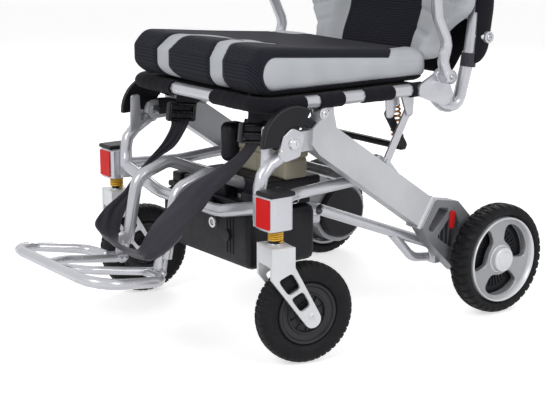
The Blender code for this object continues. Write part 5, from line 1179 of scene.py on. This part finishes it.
# %% Caster rims
CASTER_RIM = [(0.0, 0.0222), (0.0100, 0.0222), (0.0112, 0.0205), (0.0118, 0.0125), (0.0195, 0.0108),
              (0.0205, 0.0140), (0.0228, 0.0140), (0.0238, 0.0108), (0.0345, 0.0098), (0.0360, 0.0150),
              (0.0385, 0.0156), (0.0402, 0.0128), (0.0500, 0.0138), (0.0530, 0.0178), (0.0560, 0.0186),
              (0.0580, 0.0165)]
CASTER_RIM += [(r, -x) for r, x in CASTER_RIM[::-1]]
for name, sign in SIDES:
    hub = caster_hub(sign)
    disc = turned("disc", CASTER_RIM, hub, CASTER_AXLE, 72)
    ribs = [fins(hub, side * CASTER_AXLE, inner=0.0115, outer=0.0365, low=0.002, high=0.0142, count=10,
                 thick=0.0013) for side in (1, -1)]
    dressed(joined("caster_rim_turned_" + name, disc, *ribs), "caster_wheel_" + name, CHARCOAL,
            ["caster_rim_" + name])
print("rims: 4")

# %% [markdown]
# ## Caster forks
# A fork is a thick crown and two blades. Each blade is a strip of cells from the crown down to a
# round end at the axle; two of the cells have a large rounded window, as in the photograph.

# %% Forks
BLADE_FRONT = np.array([(-0.0222, 0.2275), (-0.0222, 0.1700), (0.0455, 0.0800)])
BLADE_REAR = np.array([(0.0242, 0.2275), (0.0242, 0.1900), (0.0738, 0.0970)])
SLANT = [0.0, 0.03, 0.43, 0.80, 1.0]
BLADE_INNER, BLADE_OUTER = 0.0245, 0.0318

def blade_cells():
    """(front low, front high, rear low, rear high, has a window) of each cell, as (trail, height) pairs."""
    cells = [(BLADE_FRONT[0], BLADE_FRONT[1], BLADE_REAR[0], BLADE_REAR[1], False)]
    for a, b, window in zip(SLANT[:-1], SLANT[1:], (False, True, True, False)):
        front = [BLADE_FRONT[1] + (BLADE_FRONT[2] - BLADE_FRONT[1]) * s for s in (a, b)]
        rear = [BLADE_REAR[1] + (BLADE_REAR[2] - BLADE_REAR[1]) * s for s in (a, b)]
        cells.append((*front, *rear, window))
    return cells

def fork_place(stem, x, trail, height):
    """From the fork's own axes (across, trail, height) to the chair's, turned by the swivel."""
    flat = x[..., None] * CASTER_AXLE + trail[..., None] * CASTER_ALONG
    return stem + flat + height[..., None] * np.array(UP)

def blade(stem, sign):
    """One blade; the last cell is squeezed into a half disc about the axle."""
    parts = []
    cells = blade_cells()
    for number, (f0, f1, r0, r1, window) in enumerate(cells):
        def mapping(u, v, side, near, f0=f0, f1=f1, r0=r0, r1=r1):
            share = ((v + 1) / 2)[..., None]
            front, rear = f0 + (f1 - f0) * share, r0 + (r1 - r0) * share
            at = front + (rear - front) * ((u + 1) / 2)[..., None]
            x = np.full_like(u, BLADE_OUTER if side > 0 else BLADE_INNER)
            x = x - side * 0.0010 * np.clip(1 - near / 0.14, 0, 1)
            return fork_place(stem, sign * x, at[..., 0], at[..., 1])
        walls = (1, 1, 0, number == 0)
        parts.append(pierced(mapping, (0.62, 0.84), walls, 5.0) if window else solid_cell(mapping, walls))
    front, rear = cells[-1][1], cells[-1][3]
    across = (rear - front) / 2
    down = np.array([across[1], -across[0]])
    down = down if down[1] < 0 else -down
    middle = (front + rear) / 2

    def end(u, v, side, near):
        share = np.sin((v + 1) * math.pi / 4 * 0.96)
        width = np.sqrt(1 - share ** 2)
        at = middle + (u * width)[..., None] * across + share[..., None] * down
        x = np.full_like(u, BLADE_OUTER if side > 0 else BLADE_INNER)
        return fork_place(stem, sign * x, at[..., 0], at[..., 1])
    parts.append(solid_cell(end, (1, 1, 1, 0)))
    return welded("blade", parts, 40)

for name, sign in SIDES:
    stem = caster_stem(sign)
    crown = blocky((-0.0308, -0.0218, 0.1900), (0.0308, 0.0238, 0.2285), 0.0040, 4)
    set_points(crown, fork_place(stem, *points_of(crown).T))
    ends = [side * CASTER_AXLE for side in (1, -1)]
    bolts = [screw(caster_hub(sign) + BLADE_OUTER * out, out, 0.0050, 0.0032) for out in ends]
    blades = [blade(stem, side) for side in (1, -1)]
    fork = bevelled(joined("caster_fork_forged_" + name, crown, *blades, *bolts), 0.0009)
    source = "caster_fork_" + name
    dressed(fork, body_of_node(source), FORGED, [source])
    low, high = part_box("caster_spring_" + name)
    tall = high[2] - low[2]
    sleeve_rod = turned("spring_core_" + name, [(0.0, 0.0), (0.0102, 0.0), (0.0102, tall), (0.0, tall)],
                        stem + (0, 0, low[2]), UP, 24)
    dressed(sleeve_rod, "root", BLACK)
    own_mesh(sleeve_rod)
print("forks: 2")

# %% [markdown]
# ## Arm pads and push grips
# An arm pad is moulded foam with a soft crown. A push grip is a rubber sleeve with finger rings.

# %% Arm pads and grips
GRIP_ENDS = ((0.4155, 0.9147), (0.5115, 0.9102))
GRIP_RADIUS, GRIP_RINGS, RING_HEIGHT = 0.0148, 9, 0.0008
for name, sign in SIDES:
    low, high = (np.array(c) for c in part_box("arm_pad_" + name))
    half = (high - low) / 2
    points, quads = cube_skin(half, np.array([0.012, 0.016, 0.012]), 7, (12, 40, 3))
    share = points[:, 2] / half[2]
    crown = -0.0022 * (points[:, 0] / half[0]) ** 2 * np.maximum(share, 0)
    waist = 1 - 0.03 * np.cos(points[:, 1] / half[1] * math.pi / 2) ** 2 * (share < 0.2)
    seam = 0.0008 * np.exp(-((points[:, 2] + 0.004) / 0.0012) ** 2)
    points[:, 0] = points[:, 0] * waist - np.sign(points[:, 0]) * seam
    points[:, 2] += crown
    pad = upright(mesh_piece("arm_pad_foam_" + name, points + (high + low) / 2, quads))
    dressed(pad, "armrest_" + name, ARM_FOAM, ["arm_pad_" + name])
    start, end = (np.array([sign * BACK["x"], y, z]) for y, z in GRIP_ENDS)
    t = np.linspace(0, 1, 120)
    rings = RING_HEIGHT * np.cos(t * 2 * math.pi * GRIP_RINGS)
    rings = rings * smoothstep(0.06, 0.12, t) * smoothstep(0.96, 0.9, t)
    size = GRIP_RADIUS + rings + 0.0012 * (t < 0.05) - 0.006 * smoothstep(0.97, 1.0, t)
    path = start + (end - start) * t[:, None]
    grip = swept("grip_sleeve_" + name, path, circle(1.0, 28), ACROSS, scale=size, edge=50)
    dressed(grip, "back_upper", GRIP, ["push_grip_" + name])
print("arm pads and grips done")

# %% [markdown]
# ## Finishes of the CAD parts
# The other parts keep the CAD shape. A copy of each is welded and shaded smooth except at real edges.
# On plates, castings and mouldings the edges are also rounded, by 0.4 to 1.5 mm, as on tumbled or
# moulded parts. The CAD mesh stays as it is. The thin tubes of the front frame and of the rear stays,
# which the CAD has with few sides, get a round skin on top.

# %% Welded copies of the CAD nodes
def finished_copy(name, finish, bevel):
    """A welded copy of a CAD node with its finish; it stands for the node."""
    source = frame["nodes"][name]
    mesh = bmesh.new()
    mesh.from_mesh(source.data)
    mesh.transform(source.matrix_world)
    bmesh.ops.remove_doubles(mesh, verts=mesh.verts, dist=1e-5)
    data = bpy.data.meshes.new(name + "_finished")
    mesh.to_mesh(data)
    mesh.free()
    data.polygons.foreach_set("use_smooth", np.ones(len(data.polygons), bool))
    piece = edged(linked(name + "_finished", data), SHARP_ANGLE)
    if bevel:
        bevelled(piece, bevel)
    flat = piece.modifiers.new("flat_faces", "WEIGHTED_NORMAL")
    flat.keep_sharp = True
    return dressed(piece, body_of_node(name), finish, [name])

def sides(*names):
    """Each name with _left and with _right after it."""
    return [name + "_" + side for name in names for side, _ in SIDES]

COPIES = [
    (SILVER, 0.0, ["front_frame", "seat_frame", "rear_stays", "back_posts", "back_uprights", "footrest",
                   *sides("armrest_tube")]),
    (SILVER, 0.0007, sides("brace_upper", "brace_lower")),
    (BEAM, 0.0014, sides("beam")),
    (CAST, 0.0012, sides("rear_bracket")),
    (STEEL, 0.0004, sides("pivot_bolt", "caster_stem")),
    (BLACK, 0.0009, [*sides("housing_cap", "pivot_cover", "hub_motor"), "shock_yoke"]),
    (BLACK, 0.0015, ["battery_pack", "joystick_box"]),
    (BLACK, 0.0, ["joystick_stick"]),
    (REFLECTOR, 0.0005, sides("reflector")),
    (RED_PLASTIC, 0.0008, sides("clutch_lever")),
    (RED_PLASTIC, 0.0, ["power_button"]),
    (GRIP, 0.0, ["joystick_boot"]),
]
for finish, bevel, names in COPIES:
    for name in names:
        finished_copy(name, finish, bevel)
print("finished copies:", sum(len(names) for _, _, names in COPIES))

# %% Round skins for the thin tubes
HAIR = 0.00025

def tube_pair(corners, radius, bend, reference=(0.03, 0.05, 1.0)):
    """A tube given by its left side's corners, and its mirror image."""
    return [tube([(sign * x, y, z) for x, y, z in corners], radius + HAIR, bend, reference)
            for _, sign in SIDES]

def cross_tube(x, y, z, radius):
    """A straight tube from side to side."""
    return tube([(-x, y, z), (x, y, z)], radius + HAIR)

def skin_tubes(name, body, *tubes):
    """Round tubes, a hair larger than the CAD's, as one object."""
    return dressed(joined(name, *tubes), body, SILVER)

skin_tubes(
    "front_tubes", "root",
    *tube_pair([(0.239, -0.1865, 0.2905), (0.203, -0.093, 0.2925), (0.203, 0.054, 0.300)], 0.011, 0.05),
    *tube_pair([(0.070, -0.096, 0.283), (0.070, -0.201, 0.324), (0.070, -0.273, 0.300),
                (0.070, -0.299, 0.172)], 0.0115, 0.035, ACROSS),
    cross_tube(0.203, -0.096, 0.285, 0.011),
    cross_tube(0.203, 0.054, 0.300, 0.011))
skin_tubes(
    "rear_tubes", body_of_node("rear_stays"),
    *tube_pair([(0.195, -0.031, 0.252), (0.195, 0.249, 0.143), (0.2035, 0.274, 0.134)], 0.0105, 0.03),
    *tube_pair([(0.195, 0.154, 0.176), (0.195, 0.209, 0.118), (0.195, 0.274, 0.110)], 0.009, 0.035),
    cross_tube(0.195, 0.229, 0.151, 0.009))
print("round skins done")

# %% [markdown]
# ## Controller cover and battery lid
# The photograph shows a beige plastic cover under the seat, and a black ribbed deck between it and
# the battery. The cover is narrower than the CAD's plain box, so it is built here: a rounded box with
# a raised lid, a side panel and five ribs on its front.

# %% Controller cover
cover = blocky((-0.028, -0.0790, 0.3060), (0.150, -0.0250, 0.3470), 0.0065, 5)
lid = blocky((-0.030, -0.0810, 0.3455), (0.152, -0.0230, 0.3620), 0.0055, 5)
panel = blocky((0.1485, -0.0700, 0.3110), (0.1512, -0.0340, 0.3410), 0.0012, 3)
ribs = [blocky((x, -0.0802, 0.3100), (x + 0.0030, -0.0770, 0.3420), 0.0012, 2)
        for x in (-0.012, 0.022, 0.056, 0.090, 0.124)]
dressed(joined("controller_cover", cover, lid, panel, *ribs), body_of_node("controller_box"), BEIGE,
        ["controller_box"])

mount = blocky((-0.042, -0.1020, 0.3160), (0.000, -0.0560, 0.3960), 0.0150, 6)
shelf = blocky((-0.020, -0.0840, 0.3600), (0.146, -0.0300, 0.3860), 0.0060, 4)
PLUG = [(0.0, 0.0), (0.0075, 0.0), (0.0075, 0.010), (0.0060, 0.011), (0.0060, 0.020), (0.0, 0.020)]
plug = turned("plug", PLUG, (-0.022, -0.050, 0.378), (0.0, 0.35, 0.94), 24)
dressed(joined("controller_mount", mount, shelf, plug), "root", BLACK)

# %% Battery deck
deck = blocky((-0.146, -0.1560, 0.2540), (0.146, -0.0140, 0.2660), 0.0040, 3)
stack = blocky((-0.030, -0.1240, 0.2640), (0.148, 0.0100, 0.3070), 0.0060, 4)
blocks = [blocky((x, -0.1500, 0.2640), (x + 0.030, -0.0240, 0.2860), 0.0040, 3)
          for x in (-0.138, -0.096, 0.020, 0.104)]
ridges = [blocky((x, -0.1675, 0.1640), (x + 0.0040, -0.1640, 0.2480), 0.0015, 2)
          for x in (0.078, 0.088, 0.098)]
latch = blocky((-0.030, -0.1700, 0.2300), (0.030, -0.1600, 0.2620), 0.0035, 3)
dressed(joined("battery_deck", deck, stack, *blocks, *ridges, latch), "root", BLACK)
STUD = [(0.0, 0.0), (0.0110, 0.0), (0.0118, 0.003), (0.0105, 0.0062), (0.0062, 0.0062), (0.0058, 0.0030),
        (0.0, 0.0030)]
KNOB = [(0.0, 0.0), (0.0070, 0.0), (0.0070, 0.006), (0.0050, 0.0068), (0.0, 0.0068)]
studs = [turned("stud", STUD, (x, -0.1655, 0.216), (0.0, -1.0, 0.0), 32) for x in (0.037, -0.100)]
knobs = [turned("knob", KNOB, (x, y, 0.266), UP, 20)
         for x, y in ((0.062, -0.120), (0.078, -0.060), (-0.050, -0.132), (-0.020, -0.118))]
dressed(joined("battery_studs", *studs, *knobs), "root", STEEL)
print("controller and battery details done")

# %% [markdown]
# ## Bolts, covers and trim of the head joint
# The joint under the seat has a ringed bolt through the front frame's ear, a second bolt at the end
# of the beam, a black web inside the round cover, and a dark edging over the cover. A silver band
# crosses each beam towards its lower end. A ringed stud stands behind each back post, and each caster
# housing gets a smooth skin.

# %% Head joint
PIVOT, BEAM_END, STUD_HEIGHT = (-0.133, 0.398), (-0.0682, 0.447), 0.558
PIVOT_RING = [(0.0088, -0.001), (0.0118, -0.001), (0.0118, 0.0016), (0.0110, 0.0024), (0.0095, 0.0024),
              (0.0088, 0.0016)]
WASHER = [(0.0072, -0.001), (0.0102, -0.001), (0.0102, 0.0012), (0.0096, 0.0018), (0.0078, 0.0018),
          (0.0072, 0.0012)]
STUD_RIM = [(0.0070, -0.0050), (0.0118, -0.0050), (0.0118, 0.0030), (0.0106, 0.0042), (0.0080, 0.0042),
            (0.0070, 0.0030)]
BAND_ENDS = ((0.1735, 0.1945), (0.2105, 0.2530))

def pivot_arc(x, radius, start, stop, count):
    """Points of an arc round the pivot, at one x, between two angles in degrees."""
    t = np.radians(np.linspace(start, stop, count))
    return np.stack([np.full(count, x), PIVOT[0] + radius * np.cos(t), PIVOT[1] + radius * np.sin(t)], 1)

for name, sign in SIDES:
    out = (sign, 0, 0)
    ring = turned("ring", PIVOT_RING, (sign * 0.2475, *PIVOT), out, 40, closed=True)
    head = screw((sign * 0.2478, *PIVOT), out, 0.0060, 0.0048)
    second = screw((sign * 0.2528, *BEAM_END), out, 0.0062, 0.0042)
    washer = turned("washer", WASHER, (sign * 0.2525, *BEAM_END), out, 36, closed=True)
    small = screw((sign * 0.2478, -0.160, 0.386), out, 0.0030, 0.0020)
    dressed(joined("head_bolts_" + name, ring, head, small), "root", STEEL)
    body = body_of_node("beam_" + name)
    dressed(joined("beam_bolts_" + name, second, washer), body, STEEL)
    cover_body = body_of_node("pivot_cover_" + name)
    fan = [np.vstack([(x, *PIVOT), pivot_arc(x, 0.0350, 58, 178, 32)])
           for x in (sign * 0.2390, sign * 0.2432)]
    dressed(lofted("cover_web_" + name, fan, edge=40), cover_body, BLACK)
    edging = swept("cover_edging_" + name, pivot_arc(sign * 0.2488, 0.0672, 62, 176, 60), circle(0.0014, 8),
                   ACROSS, edge=60)
    dressed(edging, cover_body, CHARCOAL)
    band = swept("beam_band_" + name, even([(sign * 0.235, y, z) for y, z in BAND_ENDS], 10),
                 soft_box(0.0370, 0.0100, 0.0015, 3), ACROSS, edge=50)
    dressed(band, body, SILVER)
    stud = np.array([sign * 0.2466, back_line(STUD_HEIGHT) + 0.0250, STUD_HEIGHT])
    root = (sign * 0.2310, back_line(0.560), 0.560)
    neck = swept("neck", even([root, stud - (sign * 0.0020, 0, 0)], 8), circle(0.0064, 16), UP, edge=50)
    rim = turned("rim", STUD_RIM, stud, out, 40, closed=True)
    middle = screw(stud, out, 0.0052, 0.0040)
    dressed(joined("back_stud_" + name, neck, rim, middle), "seat", SILVER)

# %% Caster housings
for name, sign in SIDES:
    foot = (sign * CASTER_X, CASTER_Y)
    outline = soft_box(0.0448, 0.0528, 0.0110, 8) + foot
    inset = soft_box(0.0428, 0.0508, 0.0100, 8) + foot
    levels = ((inset, 0.2562), (outline, 0.2572), (outline, 0.3175), (inset, 0.3183))
    rings = [np.column_stack([flat, np.full(len(flat), z)]) for flat, z in levels]
    dressed(lofted("housing_skin_" + name, rings, edge=40), "root", SILVER)
print("head joint details done")
